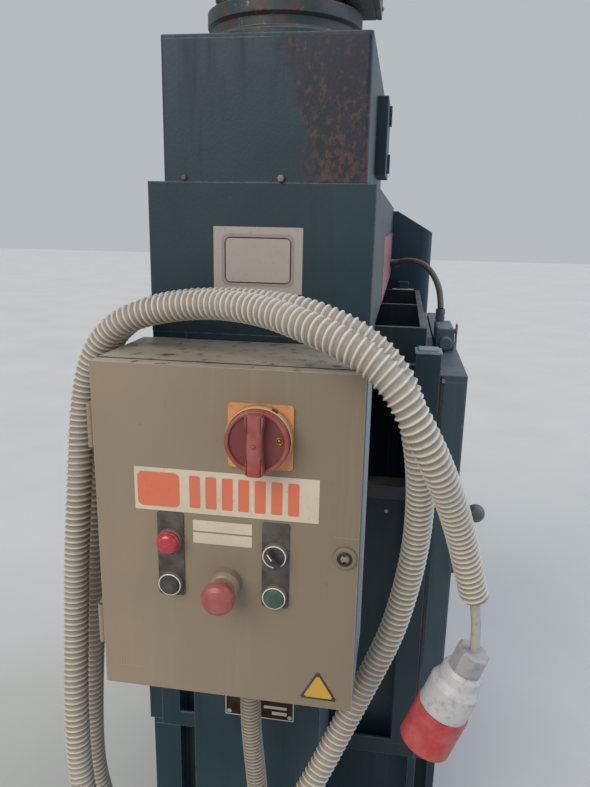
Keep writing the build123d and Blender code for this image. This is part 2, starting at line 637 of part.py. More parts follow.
def chamber_floor():
    """Plate on stiffening ribs, with a wear liner between the walls."""
    plate = block((LEFT_EDGE_X, OUTER_X), (CHAMBER_FRONT_Y, CHAMBER_REAR_Y), (FLOOR_UNDERSIDE_Z, CHAMBER_FLOOR_Z))
    plate -= block((STILE_LEFT_X, INNER_X), (CHAMBER_FRONT_Y - 1, FRONT_WALL_REAR_Y),
                   (FLOOR_UNDERSIDE_Z - 1, CHAMBER_FLOOR_Z + 1))
    pitch = (CHAMBER_REAR_Y - FRONT_WALL_REAR_Y) / (FLOOR_RIB_COUNT + 1)
    ribs = []
    for index in range(FLOOR_RIB_COUNT):
        y = FRONT_WALL_REAR_Y + pitch * (index + 1)
        ribs.append(block((LEFT_EDGE_X + FLOOR_RIB_INSET, OUTER_X - FLOOR_RIB_INSET),
                          (y - FLOOR_RIB_THICKNESS / 2, y + FLOOR_RIB_THICKNESS / 2),
                          (FLOOR_UNDERSIDE_Z - FLOOR_RIB_HEIGHT, FLOOR_UNDERSIDE_Z)))
    liner = block(shrink((-INNER_X, INNER_X), FLOOR_LINER_GAP), shrink((FRONT_WALL_REAR_Y, CHAMBER_REAR_Y), FLOOR_LINER_GAP),
                  (CHAMBER_FLOOR_Z, CHAMBER_FLOOR_Z + FLOOR_LINER))
    return fuse([plate, liner] + ribs)


def left_side_wall():
    """A hollow panel, open beneath, with shallow upright grooves pressed into its outer face."""
    y = (CHAMBER_FRONT_Y, CHAMBER_REAR_Y)
    z = (CHAMBER_FLOOR_Z, CHAMBER_TOP_Z)
    wall = block((-OUTER_X, -INNER_X), y, z)
    wall -= block((STILE_LEFT_X, -INNER_X + 1), (y[0] - 1, FRONT_WALL_REAR_Y), (z[0] - 1, z[1] + 1))
    inside_z = (z[0] - 1, z[1] - SIDE_SKIN)
    behind = FRONT_WALL_REAR_Y + SIDE_SKIN
    wall -= block((-OUTER_X + SIDE_SKIN, -INNER_X - SIDE_SKIN), (behind, y[1] - SIDE_SKIN), inside_z)
    wall -= block((-OUTER_X + SIDE_SKIN, STILE_LEFT_X - SIDE_SKIN), (y[0] + SIDE_SKIN, behind + 1), inside_z)
    pitch = CHAMBER_LENGTH / GROOVE_COUNT
    for index in range(GROOVE_COUNT):
        middle = y[0] + pitch * (index + 0.5)
        groove = block((-OUTER_X - 1, -OUTER_X + GROOVE_DEPTH), (middle - GROOVE_WIDTH / 2, middle + GROOVE_WIDTH / 2),
                       (z[0] + GROOVE_END_MARGIN, z[1] - GROOVE_END_MARGIN))
        groove = fillet(groove.edges().filter_by(Axis.X), GROOVE_WIDTH / 2 - 1)
        wall -= groove
    return wall


def right_side_frame():
    """A hollow frame round the loading opening, with the raised front cover and the latch keeper."""
    x = (INNER_X, OUTER_X)
    y = (CHAMBER_FRONT_Y, CHAMBER_REAR_Y)
    z = (CHAMBER_FLOOR_Z, CHAMBER_TOP_Z)
    opening_y = (OPENING_FRONT_Y, OPENING_REAR_Y)
    opening_z = (OPENING_BOTTOM_Z, OPENING_TOP_Z)
    outer = block(x, y, z) - block((x[0] - 1, x[1] + 1), opening_y, opening_z)
    inner = block(shrink(x, SIDE_SKIN), shrink(y, SIDE_SKIN), (z[0] - 1, z[1] - SIDE_SKIN))
    inner -= block(x, shrink(opening_y, -SIDE_SKIN), shrink(opening_z, -SIDE_SKIN))
    return fuse([outer - inner, front_cover(), latch_keeper()])


def front_cover():
    plate = block((INNER_X + COVER_EDGE, OUTER_X - COVER_EDGE), (CHAMBER_FRONT_Y - COVER_THICKNESS, CHAMBER_FRONT_Y),
                  (COVER_BOTTOM_Z, CHAMBER_TOP_Z - COVER_TOP_GAP))
    lower = plate.edges().filter_by(Axis.Y).sort_by(Axis.Z)[:2]
    return fillet(lower, COVER_CORNER)


def latch_keeper():
    """A bracket with an upturned lip; the lowered lever bar drops in behind the lip."""
    y_high = OPENING_FRONT_Y - KEEPER_FROM_OPENING
    y = (y_high - KEEPER_WIDTH, y_high)
    ledge_top = LEVER_PIVOT_Z - LEVER_BAR_WIDTH / 2 - KEEPER_CLEARANCE
    ledge_z = (ledge_top - KEEPER_LEDGE, ledge_top)
    lip_x = LEVER_X + LEVER_BAR_THICKNESS + KEEPER_SIDE_CLEARANCE
    back = block((OUTER_X, OUTER_X + KEEPER_PLATE), y, (ledge_z[0], ledge_top + 1.5 * KEEPER_LIP_HEIGHT))
    ledge = block((OUTER_X, lip_x + KEEPER_PLATE), y, ledge_z)
    lip = block((lip_x, lip_x + KEEPER_PLATE), y, (ledge_z[0], ledge_top + KEEPER_LIP_HEIGHT))
    return fuse([back, ledge, lip])


def front_wall():
    """Two stiles, a recessed field plate, an angle at the bottom and the lip under the viewing window."""
    y = (CHAMBER_FRONT_Y, FRONT_WALL_REAR_Y)
    z = (FLOOR_UNDERSIDE_Z, CHAMBER_TOP_Z)
    left_x = (STILE_LEFT_X, FIELD_LEFT_X)
    left = block(left_x, y, z) - block(shrink(left_x, FRONT_SKIN), shrink(y, FRONT_SKIN), (z[0] - 1, z[1] - FRONT_SKIN))
    right = block((FIELD_RIGHT_X, INNER_X), y, z)
    right -= block((FIELD_RIGHT_X - 1, FIELD_RIGHT_X + CORNER_POST_WIDTH),
                   (y[0] - 1, CHAMBER_FRONT_Y + CORNER_POST_DEPTH - CORNER_POST_PROUD), (BOTTOM_RAIL_TOP_Z, z[1] + 1))
    field_x = (FIELD_LEFT_X, FIELD_RIGHT_X)
    field = block(field_x, (y[1] - FIELD_PLATE, y[1]), (z[0], LIP_TOP_Z))
    lip_face = block(field_x, (y[0], y[0] + FRONT_SKIN), (LIP_TOP_Z - LIP_HEIGHT, LIP_TOP_Z))
    lip_top = block(field_x, y, (LIP_TOP_Z - FRONT_SKIN, LIP_TOP_Z))
    rail_face = block(field_x, (y[0], y[0] + FRONT_SKIN), (z[0], BOTTOM_RAIL_TOP_Z))
    rail_bottom = block(field_x, y, (z[0], z[0] + FRONT_SKIN))
    return fuse([left, right, field, lip_face, lip_top, rail_face, rail_bottom])


def corner_post():
    x = (FIELD_RIGHT_X, FIELD_RIGHT_X + CORNER_POST_WIDTH)
    front_y = CHAMBER_FRONT_Y - CORNER_POST_PROUD
    y = (front_y, front_y + CORNER_POST_DEPTH)
    return channel_down(x, y, (BOTTOM_RAIL_TOP_Z, CORNER_POST_TOP_Z), CORNER_POST_WALL)


# Loading door, its hinges and its latch

def hinge_parts(bottom_z):
    """One butt hinge: the fixed leaf with end knuckles and pin, and the moving leaf with the middle knuckle."""
    x, y, radius = DOOR_HINGE_X, DOOR_HINGE_Y, DOOR_HINGE_KNUCKLE_RADIUS
    top_z = bottom_z + DOOR_HINGE_HEIGHT
    low_end = bottom_z + DOOR_HINGE_END_KNUCKLE
    high_end = top_z - DOOR_HINGE_END_KNUCKLE
    leaf_x = (OUTER_X, OUTER_X + DOOR_HINGE_LEAF)
    clear = radius + 1
    fixed = [block(leaf_x, (y + clear, y + clear + DOOR_HINGE_LEAF_WIDTH), (bottom_z, top_z)),
             rod((x, y, bottom_z), (x, y, top_z), DOOR_HINGE_PIN_RADIUS)]
    for low, high in ((bottom_z, low_end), (high_end, top_z)):
        fixed.append(rod((x, y, low), (x, y, high), radius))
        fixed.append(block(leaf_x, (y, y + clear + 1), (low, high)))
    middle = (low_end + HINGE_END_GAP, high_end - HINGE_END_GAP)
    bore = DOOR_HINGE_PIN_RADIUS + RUNNING_FIT
    moving = [block(leaf_x, (y - clear - DOOR_HINGE_LEAF_WIDTH, y - clear), (bottom_z, top_z)),
              block(leaf_x, (y - clear - 1, y - 1), middle),
              rod((x, y, middle[0]), (x, y, middle[1]), radius)]
    hole = rod((x, y, bottom_z - 1), (x, y, top_z + 1), bore)
    return fuse(fixed), fuse(moving) - hole


def loading_door():
    """A folded pan, open inwards, with two top-hat stiffeners, its hinge leaves and the lever's pivot pin."""
    x = (OUTER_X - DOOR_DEPTH, OUTER_X)
    y = (DOOR_FRONT_Y, DOOR_REAR_Y)
    z = (DOOR_BOTTOM_Z, DOOR_TOP_Z)
    pan = block(x, y, z) - block((x[0] - 1, x[1] - DOOR_SKIN), shrink(y, DOOR_SKIN), shrink(z, DOOR_SKIN))
    pieces = [pan]
    for index in range(DOOR_RIB_COUNT):
        middle = z[0] + (z[1] - z[0]) * (index + 1) / (DOOR_RIB_COUNT + 1)
        rib_z = (middle - DOOR_RIB_WIDTH / 2, middle + DOOR_RIB_WIDTH / 2)
        rib_x = (x[1] - DOOR_SKIN - DOOR_RIB_DEPTH, x[1] - DOOR_SKIN)
        hat = block(rib_x, y, rib_z) - block((rib_x[0] + DOOR_SKIN, rib_x[1] + 1), (y[0] - 1, y[1] + 1),
                                             shrink(rib_z, DOOR_SKIN))
        pieces.append(hat & block(x, shrink(y, DOOR_SKIN), z))
    pieces += [hinge_parts(bottom)[1] for bottom in DOOR_HINGE_Z]
    return fuse(pieces + [lever_pivot()])


def lever_pivot():
    """Boss, pin and retaining head in one turned piece."""
    hub_end = LEVER_X - BODY_GAP + LEVER_HUB_LENGTH
    y, z = LEVER_PIVOT_Y, LEVER_PIVOT_Z
    boss = rod((OUTER_X, y, z), (LEVER_X - 3 - BODY_GAP, y, z), LEVER_HUB_RADIUS)
    pin = rod((OUTER_X, y, z), (hub_end + 3, y, z), LEVER_PIN_RADIUS)
    head = rod((hub_end, y, z), (hub_end + 3, y, z), LEVER_HUB_RADIUS - 3)
    return fuse([boss, pin, head])


def latch_lever():
    """Hub, flat bar and knob stud, drawn lowered and then raised about the pivot to its place at rest."""
    y, z = LEVER_PIVOT_Y, LEVER_PIVOT_Z
    hub = rod((LEVER_X - 3, y, z), (LEVER_X - 2 * BODY_GAP - 3 + LEVER_HUB_LENGTH + 3, y, z), LEVER_HUB_RADIUS)
    bar = block((LEVER_X, LEVER_X + LEVER_BAR_THICKNESS), (y - LEVER_REACH - LEVER_BAR_WIDTH / 2, y),
                (z - LEVER_BAR_WIDTH / 2, z + LEVER_BAR_WIDTH / 2))
    end = bar.edges().filter_by(Axis.X).sort_by(Axis.Y)[:2]
    bar = fillet(end, LEVER_BAR_WIDTH / 2 - 0.5)
    knob_y = y - LEVER_REACH
    stud = rod((LEVER_X, knob_y, z), (LEVER_X + LEVER_BAR_THICKNESS + KNOB_STANDOFF, knob_y, z), KNOB_STUD_RADIUS)
    lever = fuse([hub, bar, stud])
    lever -= rod((LEVER_X - 20, y, z), (LEVER_X + 40, y, z), LEVER_PIN_RADIUS + RUNNING_FIT)
    return raise_lever(lever)


def raise_lever(piece):
    return piece.rotate(Axis((0, LEVER_PIVOT_Y, LEVER_PIVOT_Z), (1, 0, 0)), -LEVER_REST_ANGLE)


def ball_knob():
    """A ball with a flat where it meets the bar's side and a blind hole for the stud."""
    knob_y = LEVER_PIVOT_Y - LEVER_REACH
    stud_end = LEVER_X + LEVER_BAR_THICKNESS + KNOB_STANDOFF
    centre_x = stud_end + 2
    flat_x = centre_x - KNOB_RADIUS + 2
    ball = Pos(centre_x, knob_y, LEVER_PIVOT_Z) * Sphere(KNOB_RADIUS)
    ball -= block((flat_x - KNOB_RADIUS, flat_x), (knob_y - KNOB_RADIUS, knob_y + KNOB_RADIUS),
                  (LEVER_PIVOT_Z - KNOB_RADIUS, LEVER_PIVOT_Z + KNOB_RADIUS))
    ball -= rod((flat_x - 1, knob_y, LEVER_PIVOT_Z), (stud_end, knob_y, LEVER_PIVOT_Z), KNOB_STUD_RADIUS + RUNNING_FIT)
    return raise_lever(ball)


# Safety switch

def safety_switch():
    body = block(SWITCH_X, SWITCH_Y, (CHAMBER_TOP_Z, SWITCH_TOP_Z))
    body = fillet(body.edges().filter_by(Axis.Y).sort_by(Axis.Z)[-2:], 4)
    head_x = (SWITCH_X[0] + SWITCH_X[1]) / 2
    head_z = CHAMBER_TOP_Z + SWITCH_HEAD_Z
    head = rod((head_x, SWITCH_Y[0] - SWITCH_HEAD_LENGTH, head_z), (head_x, SWITCH_Y[0], head_z), SWITCH_HEAD_RADIUS)
    head = fillet(head.edges().sort_by(Axis.Y)[:1], 3)
    z = CHAMBER_TOP_Z + PLUNGER_HEIGHT
    bore = rod((SWITCH_X[1] - PLUNGER_BORE_DEPTH, PLUNGER_Y, z), (SWITCH_X[1] + 1, PLUNGER_Y, z),
               PLUNGER_RADIUS + RUNNING_FIT)
    return fuse([body, head]) - bore


def switch_plunger():
    z = CHAMBER_TOP_Z + PLUNGER_HEIGHT
    tip_x = OUTER_X + ACTUATOR_FOOT - ACTUATOR_STRIP - BODY_GAP
    inner_x = SWITCH_X[1] - PLUNGER_BORE_DEPTH + PLUNGER_TRAVEL + 1
    stem = rod((inner_x, PLUNGER_Y, z), (tip_x, PLUNGER_Y, z), PLUNGER_RADIUS)
    tip = rod((tip_x - 4, PLUNGER_Y, z), (tip_x, PLUNGER_Y, z), PLUNGER_TIP_RADIUS)
    return fuse([stem, tip])


def switch_actuator():
    """A cranked strip on the door that stands in front of the plunger, clear of the top rail."""
    y = (PLUNGER_Y - ACTUATOR_WIDTH / 2, PLUNGER_Y + ACTUATOR_WIDTH / 2)
    outer = OUTER_X + ACTUATOR_FOOT
    foot = block((OUTER_X, outer), y, (ACTUATOR_BOTTOM_Z, DOOR_TOP_Z))
    strip = block((outer - ACTUATOR_STRIP, outer), y, (ACTUATOR_BOTTOM_Z, ACTUATOR_TOP_Z))
    return fuse([foot, strip])


def switch_glands():
    """The gland on the switch, and the elbow on the beam's side that turns the thin conduit forward."""
    x, y = SWITCH_X[0] + SWITCH_GLAND_FROM_SIDE, SWITCH_GLAND_Y
    gland_top = SWITCH_TOP_Z + SWITCH_GLAND_LENGTH
    neck = SWITCH_GLAND_RADIUS - 1.5
    gland = fuse([rod((x, y, SWITCH_TOP_Z), (x, y, gland_top), neck),
                  Pos(x, y, SWITCH_TOP_Z + 4) * extrude(RegularPolygon(SWITCH_GLAND_RADIUS, 6), amount=8),
                  rod((x, y, SWITCH_TOP_Z + 15), (x, y, gland_top), SWITCH_GLAND_RADIUS)])
    start = SWITCH_CONDUIT_ROUTE[0]
    turn_y = start[1] + 2.4 * BEAM_ELBOW_RADIUS
    elbow = fuse([rod((BEAM_WIDTH / 2, turn_y, start[2]), (start[0], turn_y, start[2]), BEAM_ELBOW_RADIUS),
                  Pos(start[0], turn_y, start[2]) * Sphere(BEAM_ELBOW_RADIUS),
                  rod((start[0], turn_y, start[2]), start, BEAM_ELBOW_RADIUS)])
    return gland, elbow


# Press

def cylinder_barrel():
    top_z = BORE_TOP_Z + BARREL_CAP
    half = FLANGE_SIDE / 2
    pieces = [rod((0, CYLINDER_Y, BARREL_BOTTOM_Z), (0, CYLINDER_Y, top_z), BARREL_RADIUS),
              block((-half, half), (CYLINDER_Y - half, CYLINDER_Y + half), (BEAM_TOP_Z, BEAM_TOP_Z + FLANGE_THICKNESS))]
    for x, z in ((PORT_OFFSET_X, LOWER_PORT_Z), (-PORT_OFFSET_X, UPPER_PORT_Z)):
        face_y = CYLINDER_Y - BARREL_RADIUS - PORT_PROUD
        pieces.append(rod((x, face_y, z), (x, CYLINDER_Y - BORE_RADIUS, z), PORT_RADIUS))
    return fuse(pieces) - rod((0, CYLINDER_Y, BARREL_BOTTOM_Z - 1), (0, CYLINDER_Y, BORE_TOP_Z), BORE_RADIUS)


def rod_gland():
    outer = BORE_RADIUS - RUNNING_FIT
    bore = ROD_RADIUS + RUNNING_FIT
    profile = [(bore, -GLAND_HEAD), (GLAND_HEAD_RADIUS, -GLAND_HEAD), (GLAND_HEAD_RADIUS, 0), (outer, 0),
               (outer, GLAND_BUSH_LENGTH), (bore, GLAND_BUSH_LENGTH)]
    return turned(profile, 0, CYLINDER_Y, BARREL_BOTTOM_Z)


def piston_rod():
    z = PISTON_BOTTOM_Z
    return fuse([rod((0, CYLINDER_Y, ROD_BOTTOM_Z), (0, CYLINDER_Y, z + 1), ROD_RADIUS),
                 rod((0, CYLINDER_Y, z), (0, CYLINDER_Y, z + PISTON_LENGTH), BORE_RADIUS - RUNNING_FIT)])


def press_plate():
    """Plate, lengthwise and cross ribs, and the boss that takes the piston rod."""
    x = (-PLATE_HALF_WIDTH, PLATE_HALF_WIDTH)
    y = (PLATE_FRONT_Y, PLATE_REAR_Y)
    rib_z = (PLATE_TOP_Z, RIB_TOP_Z)
    rear_rib_y = PLATE_REAR_Y - PLATE_RIB_THICKNESS - SHOE_FRONT_WALL
    pieces = [block(x, y, (PLATE_BOTTOM_Z, PLATE_TOP_Z))]
    for middle in PLATE_RIB_X:
        pieces.append(block((middle - PLATE_RIB_THICKNESS / 2, middle + PLATE_RIB_THICKNESS / 2),
                            (y[0] + 20, rear_rib_y + PLATE_RIB_THICKNESS), rib_z))
    first_y = y[0] + 20
    pitch = (rear_rib_y - first_y) / (PLATE_CROSS_RIBS - 1)
    for index in range(PLATE_CROSS_RIBS):
        rib_y = first_y + pitch * index
        pieces.append(block((PLATE_RIB_X[0], PLATE_RIB_X[-1]), (rib_y, rib_y + PLATE_RIB_THICKNESS), rib_z))
    pieces.append(rod((0, CYLINDER_Y, PLATE_TOP_Z), (0, CYLINDER_Y, RIB_TOP_Z), ROD_SEAT_RADIUS))
    seat = rod((0, CYLINDER_Y, ROD_BOTTOM_Z), (0, CYLINDER_Y, RIB_TOP_Z + 1), ROD_RADIUS + RUNNING_FIT)
    return fuse(pieces) - seat


def guide_shoes():
    """Two nylon shoes on the press plate, each with a slot that runs on a guide rail."""
    shoes = []
    for side in (-1, 1):
        x = side * RAIL_OFFSET_X
        front = PLATE_REAR_Y - SHOE_FRONT_WALL
        shoe = block((x - SHOE_WIDTH / 2, x + SHOE_WIDTH / 2), (front, CHAMBER_REAR_Y - SHOE_REAR_GAP),
                     (PLATE_TOP_Z, RIB_TOP_Z))
        slot = RAIL_WIDTH / 2 + SHOE_CLEARANCE
        shoe -= block((x - slot, x + slot), (CHAMBER_REAR_Y - RAIL_DEPTH - SHOE_CLEARANCE, CHAMBER_REAR_Y),
                      (PLATE_TOP_Z - 1, RIB_TOP_Z + 1))
        shoes.append(shoe)
    return shoes


# Hydraulic power unit

def oil_tank():
    y = (FRONT_END_Y, TANK_REAR_Y)
    tank = round_vertical_edges(block(TANK_X, y, (BEAM_TOP_Z, TANK_TOP_Z)), TANK_CORNER)
    inside = block(shrink(TANK_X, TANK_WALL), shrink(y, TANK_WALL), (BEAM_TOP_Z + TANK_WALL, TANK_TOP_Z + 1))
    return tank - round_vertical_edges(inside, TANK_CORNER - TANK_WALL)


def tank_lid():
    lid = round_vertical_edges(block(TANK_X, (FRONT_END_Y, TANK_REAR_Y), (TANK_TOP_Z, LID_TOP_Z)), TANK_CORNER)
    lid -= rod((MOTOR_X, MOTOR_Y, TANK_TOP_Z - 1), (MOTOR_X, MOTOR_Y, LID_TOP_Z + 1), SHAFT_HOLE_RADIUS)
    x, y = FILLER_XY
    return lid - rod((x, y, TANK_TOP_Z - 1), (x, y, LID_TOP_Z + 1), FILLER_NECK_RADIUS - 3)


def tank_side_cover():
    """A folded cover on the tank's side with two lugs."""
    x = (TANK_X[1], TANK_X[1] + SIDE_COVER_PROUD)
    cover = block(x, SIDE_COVER_Y, SIDE_COVER_Z)
    cover -= block((x[0] - 1, x[1] - SIDE_COVER_WALL), shrink(SIDE_COVER_Y, SIDE_COVER_WALL),
                   shrink(SIDE_COVER_Z, SIDE_COVER_WALL))
    middle_y = (SIDE_COVER_Y[0] + SIDE_COVER_Y[1]) / 2
    lugs = []
    for low in (SIDE_COVER_Z[0] + 6, SIDE_COVER_Z[1] - 6 - COVER_LUG_HEIGHT):
        lugs.append(block((x[1], x[1] + COVER_LUG_PROUD), (middle_y - COVER_LUG_WIDTH / 2, middle_y + COVER_LUG_WIDTH / 2),
                          (low, low + COVER_LUG_HEIGHT)))
    return fuse([cover] + lugs)


def filler_cap():
    """Screwed breather cap on a short neck."""
    top = FILLER_HEIGHT
    profile = [(0, 0), (FILLER_NECK_RADIUS, 0), (FILLER_NECK_RADIUS, 10), (FILLER_CAP_RADIUS, 10),
               (FILLER_CAP_RADIUS, top - 6), (FILLER_CAP_RADIUS - 4, top), (0, top)]
    return turned(profile, FILLER_XY[0], FILLER_XY[1], LID_TOP_Z)


def motor_adaptor():
    """Cast ring between lid and motor, with a rim at each end and room for the coupling."""
    high = ADAPTOR_HEIGHT
    profile = [(ADAPTOR_BORE_RADIUS, 0), (ADAPTOR_RADIUS, 0), (ADAPTOR_RADIUS, ADAPTOR_RIM),
               (ADAPTOR_WAIST_RADIUS, ADAPTOR_RIM + 4), (ADAPTOR_WAIST_RADIUS, high - ADAPTOR_RIM - 4),
               (ADAPTOR_RADIUS, high - ADAPTOR_RIM), (ADAPTOR_RADIUS, high), (ADAPTOR_BORE_RADIUS, high)]
    return turned(profile, MOTOR_X, MOTOR_Y, LID_TOP_Z)


def motor_body():
    """Finned frame with both end shields and the pad for the terminal box."""
    x, y = MOTOR_X, MOTOR_Y
    low, high = MOTOR_BOTTOM_Z, MOTOR_TOP_Z
    pieces = [rod((x, y, low), (x, y, high), MOTOR_CORE_RADIUS)]
    fin = block((0, MOTOR_FIN_RADIUS), (-MOTOR_FIN_THICKNESS / 2, MOTOR_FIN_THICKNESS / 2),
                (low + MOTOR_SHIELD, high - MOTOR_SHIELD))
    for index in range(MOTOR_FIN_COUNT):
        pieces.append(Pos(x, y, 0) * (Rot(0, 0, 360 * (index + 0.5) / MOTOR_FIN_COUNT) * fin))
    pieces.append(block((x, TERMINAL_BOX_X), shrink(TERMINAL_BOX_Y, 8), shrink(TERMINAL_BOX_Z, 6)))
    body = fuse(pieces)
    body -= block((TERMINAL_BOX_X, TERMINAL_BOX_X + MOTOR_FIN_RADIUS), shrink(TERMINAL_BOX_Y, -4),
                  shrink(TERMINAL_BOX_Z, -4))
    body -= rod((x, y, low + MOTOR_SHIELD), (x, y, high - MOTOR_SHIELD), STATOR_BORE_RADIUS)
    return body - rod((x, y, low - 1), (x, y, high + 1), SHAFT_RADIUS + RUNNING_FIT)


def motor_rotor():
    """Rotor core, shaft with coupling sleeve and the fan, turning as one."""
    x, y = MOTOR_X, MOTOR_Y
    core = (MOTOR_BOTTOM_Z + MOTOR_SHIELD + 16, MOTOR_TOP_Z - MOTOR_SHIELD - 16)
    fan_z = (MOTOR_TOP_Z + 10, MOTOR_TOP_Z + 36)
    shaft_bottom = TANK_TOP_Z - PUMP_LENGTH / 2
    pieces = [rod((x, y, shaft_bottom), (x, y, fan_z[1]), SHAFT_RADIUS),
              rod((x, y, core[0]), (x, y, core[1]), ROTOR_RADIUS),
              rod((x, y, LID_TOP_Z + 6), (x, y, MOTOR_BOTTOM_Z - 4), 2 * SHAFT_RADIUS),
              rod((x, y, fan_z[0]), (x, y, fan_z[0] + 3), FAN_RADIUS)]
    blade = block((0, FAN_RADIUS - 2), (-1.5, 1.5), fan_z)
    for index in range(FAN_BLADES):
        pieces.append(Pos(x, y, 0) * (Rot(0, 0, 360 * index / FAN_BLADES) * blade))
    return fuse(pieces)


def fan_cowl():
    """Pressed cowl with radial air slots in its top, seated on the motor's end shield."""
    z = (MOTOR_TOP_Z - MOTOR_SHIELD + 2, MOTOR_TOP_Z + COWL_HEIGHT)
    seat = MOTOR_CORE_RADIUS + BODY_GAP
    profile = [(seat, z[0]), (COWL_RADIUS, z[0]), (COWL_RADIUS, z[1] - 8), (COWL_RADIUS - 8, z[1]), (0, z[1]),
               (0, z[1] - COWL_WALL), (COWL_RADIUS - 9, z[1] - COWL_WALL), (COWL_RADIUS - COWL_WALL, z[1] - 9),
               (COWL_RADIUS - COWL_WALL, z[0] + 8), (seat, z[0] + 8)]
    cowl = turned(profile, MOTOR_X, MOTOR_Y)
    slot = block((26, COWL_RADIUS - 18), (-4, 4), (z[1] - 8, z[1] + 1))
    for index in range(COWL_SLOTS):
        cowl -= Pos(MOTOR_X, MOTOR_Y, 0) * (Rot(0, 0, 360 * index / COWL_SLOTS) * slot)
    return cowl


def terminal_box():
    x = (TERMINAL_BOX_X, TERMINAL_BOX_X + TERMINAL_BOX_DEPTH)
    box = fillet(block(x, TERMINAL_BOX_Y, TERMINAL_BOX_Z).edges().filter_by(Axis.X), 6)
    lid_x = (x[1] - 8, x[1] - 6)
    groove = block(lid_x, shrink(TERMINAL_BOX_Y, -1), shrink(TERMINAL_BOX_Z, -1))
    groove -= block(shrink(lid_x, -1), shrink(TERMINAL_BOX_Y, 1.5), shrink(TERMINAL_BOX_Z, 1.5))
    return box - groove


def pump():
    """Gear pump that hangs from the lid inside the tank, with its suction tube and a bore for the shaft."""
    bottom = -PUMP_LENGTH
    shaft_end = -PUMP_LENGTH / 2 - 4
    bore = SHAFT_RADIUS + RUNNING_FIT
    profile = [(0, bottom - SUCTION_LENGTH), (SUCTION_RADIUS, bottom - SUCTION_LENGTH), (SUCTION_RADIUS, bottom),
               (PUMP_RADIUS, bottom), (PUMP_RADIUS, -PUMP_FLANGE), (PUMP_FLANGE_RADIUS, -PUMP_FLANGE),
               (PUMP_FLANGE_RADIUS, 0), (bore, 0), (bore, shaft_end), (0, shaft_end)]
    return turned(profile, MOTOR_X, MOTOR_Y, TANK_TOP_Z)


def valve_block():
    """Manifold on the lid with a solenoid coil on each side."""
    z = (LID_TOP_Z, LID_TOP_Z + VALVE_BLOCK_HEIGHT)
    middle_y = (VALVE_BLOCK_Y[0] + VALVE_BLOCK_Y[1]) / 2
    coil_z = LID_TOP_Z + COIL_HEIGHT
    manifold = chamfer(block(VALVE_BLOCK_X, VALVE_BLOCK_Y, z).edges().filter_by(Axis.Z), 3)
    left = rod((VALVE_BLOCK_X[0] - COIL_LENGTH, middle_y, coil_z), (VALVE_BLOCK_X[0], middle_y, coil_z), COIL_RADIUS)
    right = rod((VALVE_BLOCK_X[1], middle_y, coil_z), (VALVE_BLOCK_X[1] + COIL_LENGTH, middle_y, coil_z), COIL_RADIUS)
    return fuse([manifold, left, right])


def pressure_pipes():
    """Two bent steel pipes from the manifold's rear face to the ports of the cylinder."""
    start_y = VALVE_BLOCK_Y[1]
    port_y = CYLINDER_Y - BARREL_RADIUS - PORT_PROUD
    pipes = []
    for x, height, standoff, port_z in ((PORT_OFFSET_X, LOWER_PIPE_HEIGHT, LOWER_PIPE_STANDOFF, LOWER_PORT_Z),
                                        (-PORT_OFFSET_X, UPPER_PIPE_HEIGHT, UPPER_PIPE_STANDOFF, UPPER_PORT_Z)):
        level = LID_TOP_Z + height
        turn_y = port_y - standoff
        route = [(x, start_y, level), (x, turn_y, level), (x, turn_y, port_z), (x, port_y, port_z)]
        path = FilletPolyline(*[Vector(*point) for point in route], radius=PIPE_BEND)
        start = Plane(origin=route[0], z_dir=(0, 1, 0))
        pipes.append(sweep(start * Circle(PIPE_RADIUS), path=path) - sweep(start * Circle(PIPE_BORE_RADIUS), path=path))
    return pipes


# Control enclosure

def enclosure_hinge(middle_z, moving):
    """One pin hinge on the enclosure's left edge; the moving half is the middle knuckle on the door."""
    x, y, radius = ENCLOSURE_HINGE_X, ENCLOSURE_HINGE_AXIS_Y, ENCLOSURE_HINGE_RADIUS
    half = ENCLOSURE_HINGE_LENGTH / 2
    inner = ENCLOSURE_HINGE_MIDDLE / 2
    if moving:
        knuckle = rod((x, y, middle_z - inner), (x, y, middle_z + inner), radius)
        web = block((x, BOX_X[0]), (y - 2.5, y + 2.5), (middle_z - inner, middle_z + inner))
        hole = rod((x, y, middle_z - half), (x, y, middle_z + half), ENCLOSURE_PIN_RADIUS + RUNNING_FIT)
        return fuse([knuckle, web]) - hole
    pieces = [rod((x, y, middle_z - half), (x, y, middle_z + half), ENCLOSURE_PIN_RADIUS)]
    leaf_x = (x - radius, BOX_X[0])
    pieces.append(block(leaf_x, (BOX_FRONT_Y + 4, BOX_FRONT_Y + 34), (middle_z - half, middle_z + half)))
    for low, high in ((middle_z - half, middle_z - inner - HINGE_END_GAP),
                      (middle_z + inner + HINGE_END_GAP, middle_z + half)):
        pieces.append(rod((x, y, low), (x, y, high), radius))
        pieces.append(block((x - radius, x), (y, BOX_FRONT_Y + 5), (low, high)))
    return fuse(pieces)


def enclosure_body():
    """Folded sheet box with a narrow front flange, the fixed hinge halves and the hole for the motor conduit."""
    y = (BOX_FRONT_Y, FRONT_END_Y)
    box = block(BOX_X, y, BOX_Z)
    box -= block(shrink(BOX_X, BOX_WALL), shrink(y, BOX_WALL), shrink(BOX_Z, BOX_WALL))
    box -= block(shrink(BOX_X, BOX_FLANGE), (y[0] - 1, y[0] + BOX_WALL + 1), shrink(BOX_Z, BOX_FLANGE))
    x, gland_y, _ = MOTOR_CONDUIT_ROUTE[0]
    box -= rod((x, gland_y, BOX_Z[0] - 1), (x, gland_y, BOX_Z[0] + BOX_WALL + 1),
               MOTOR_GLAND_THREAD_RADIUS + DEVICE_CLEARANCE)
    return fuse([box] + [enclosure_hinge(z, moving=False) for z in ENCLOSURE_HINGE_Z])


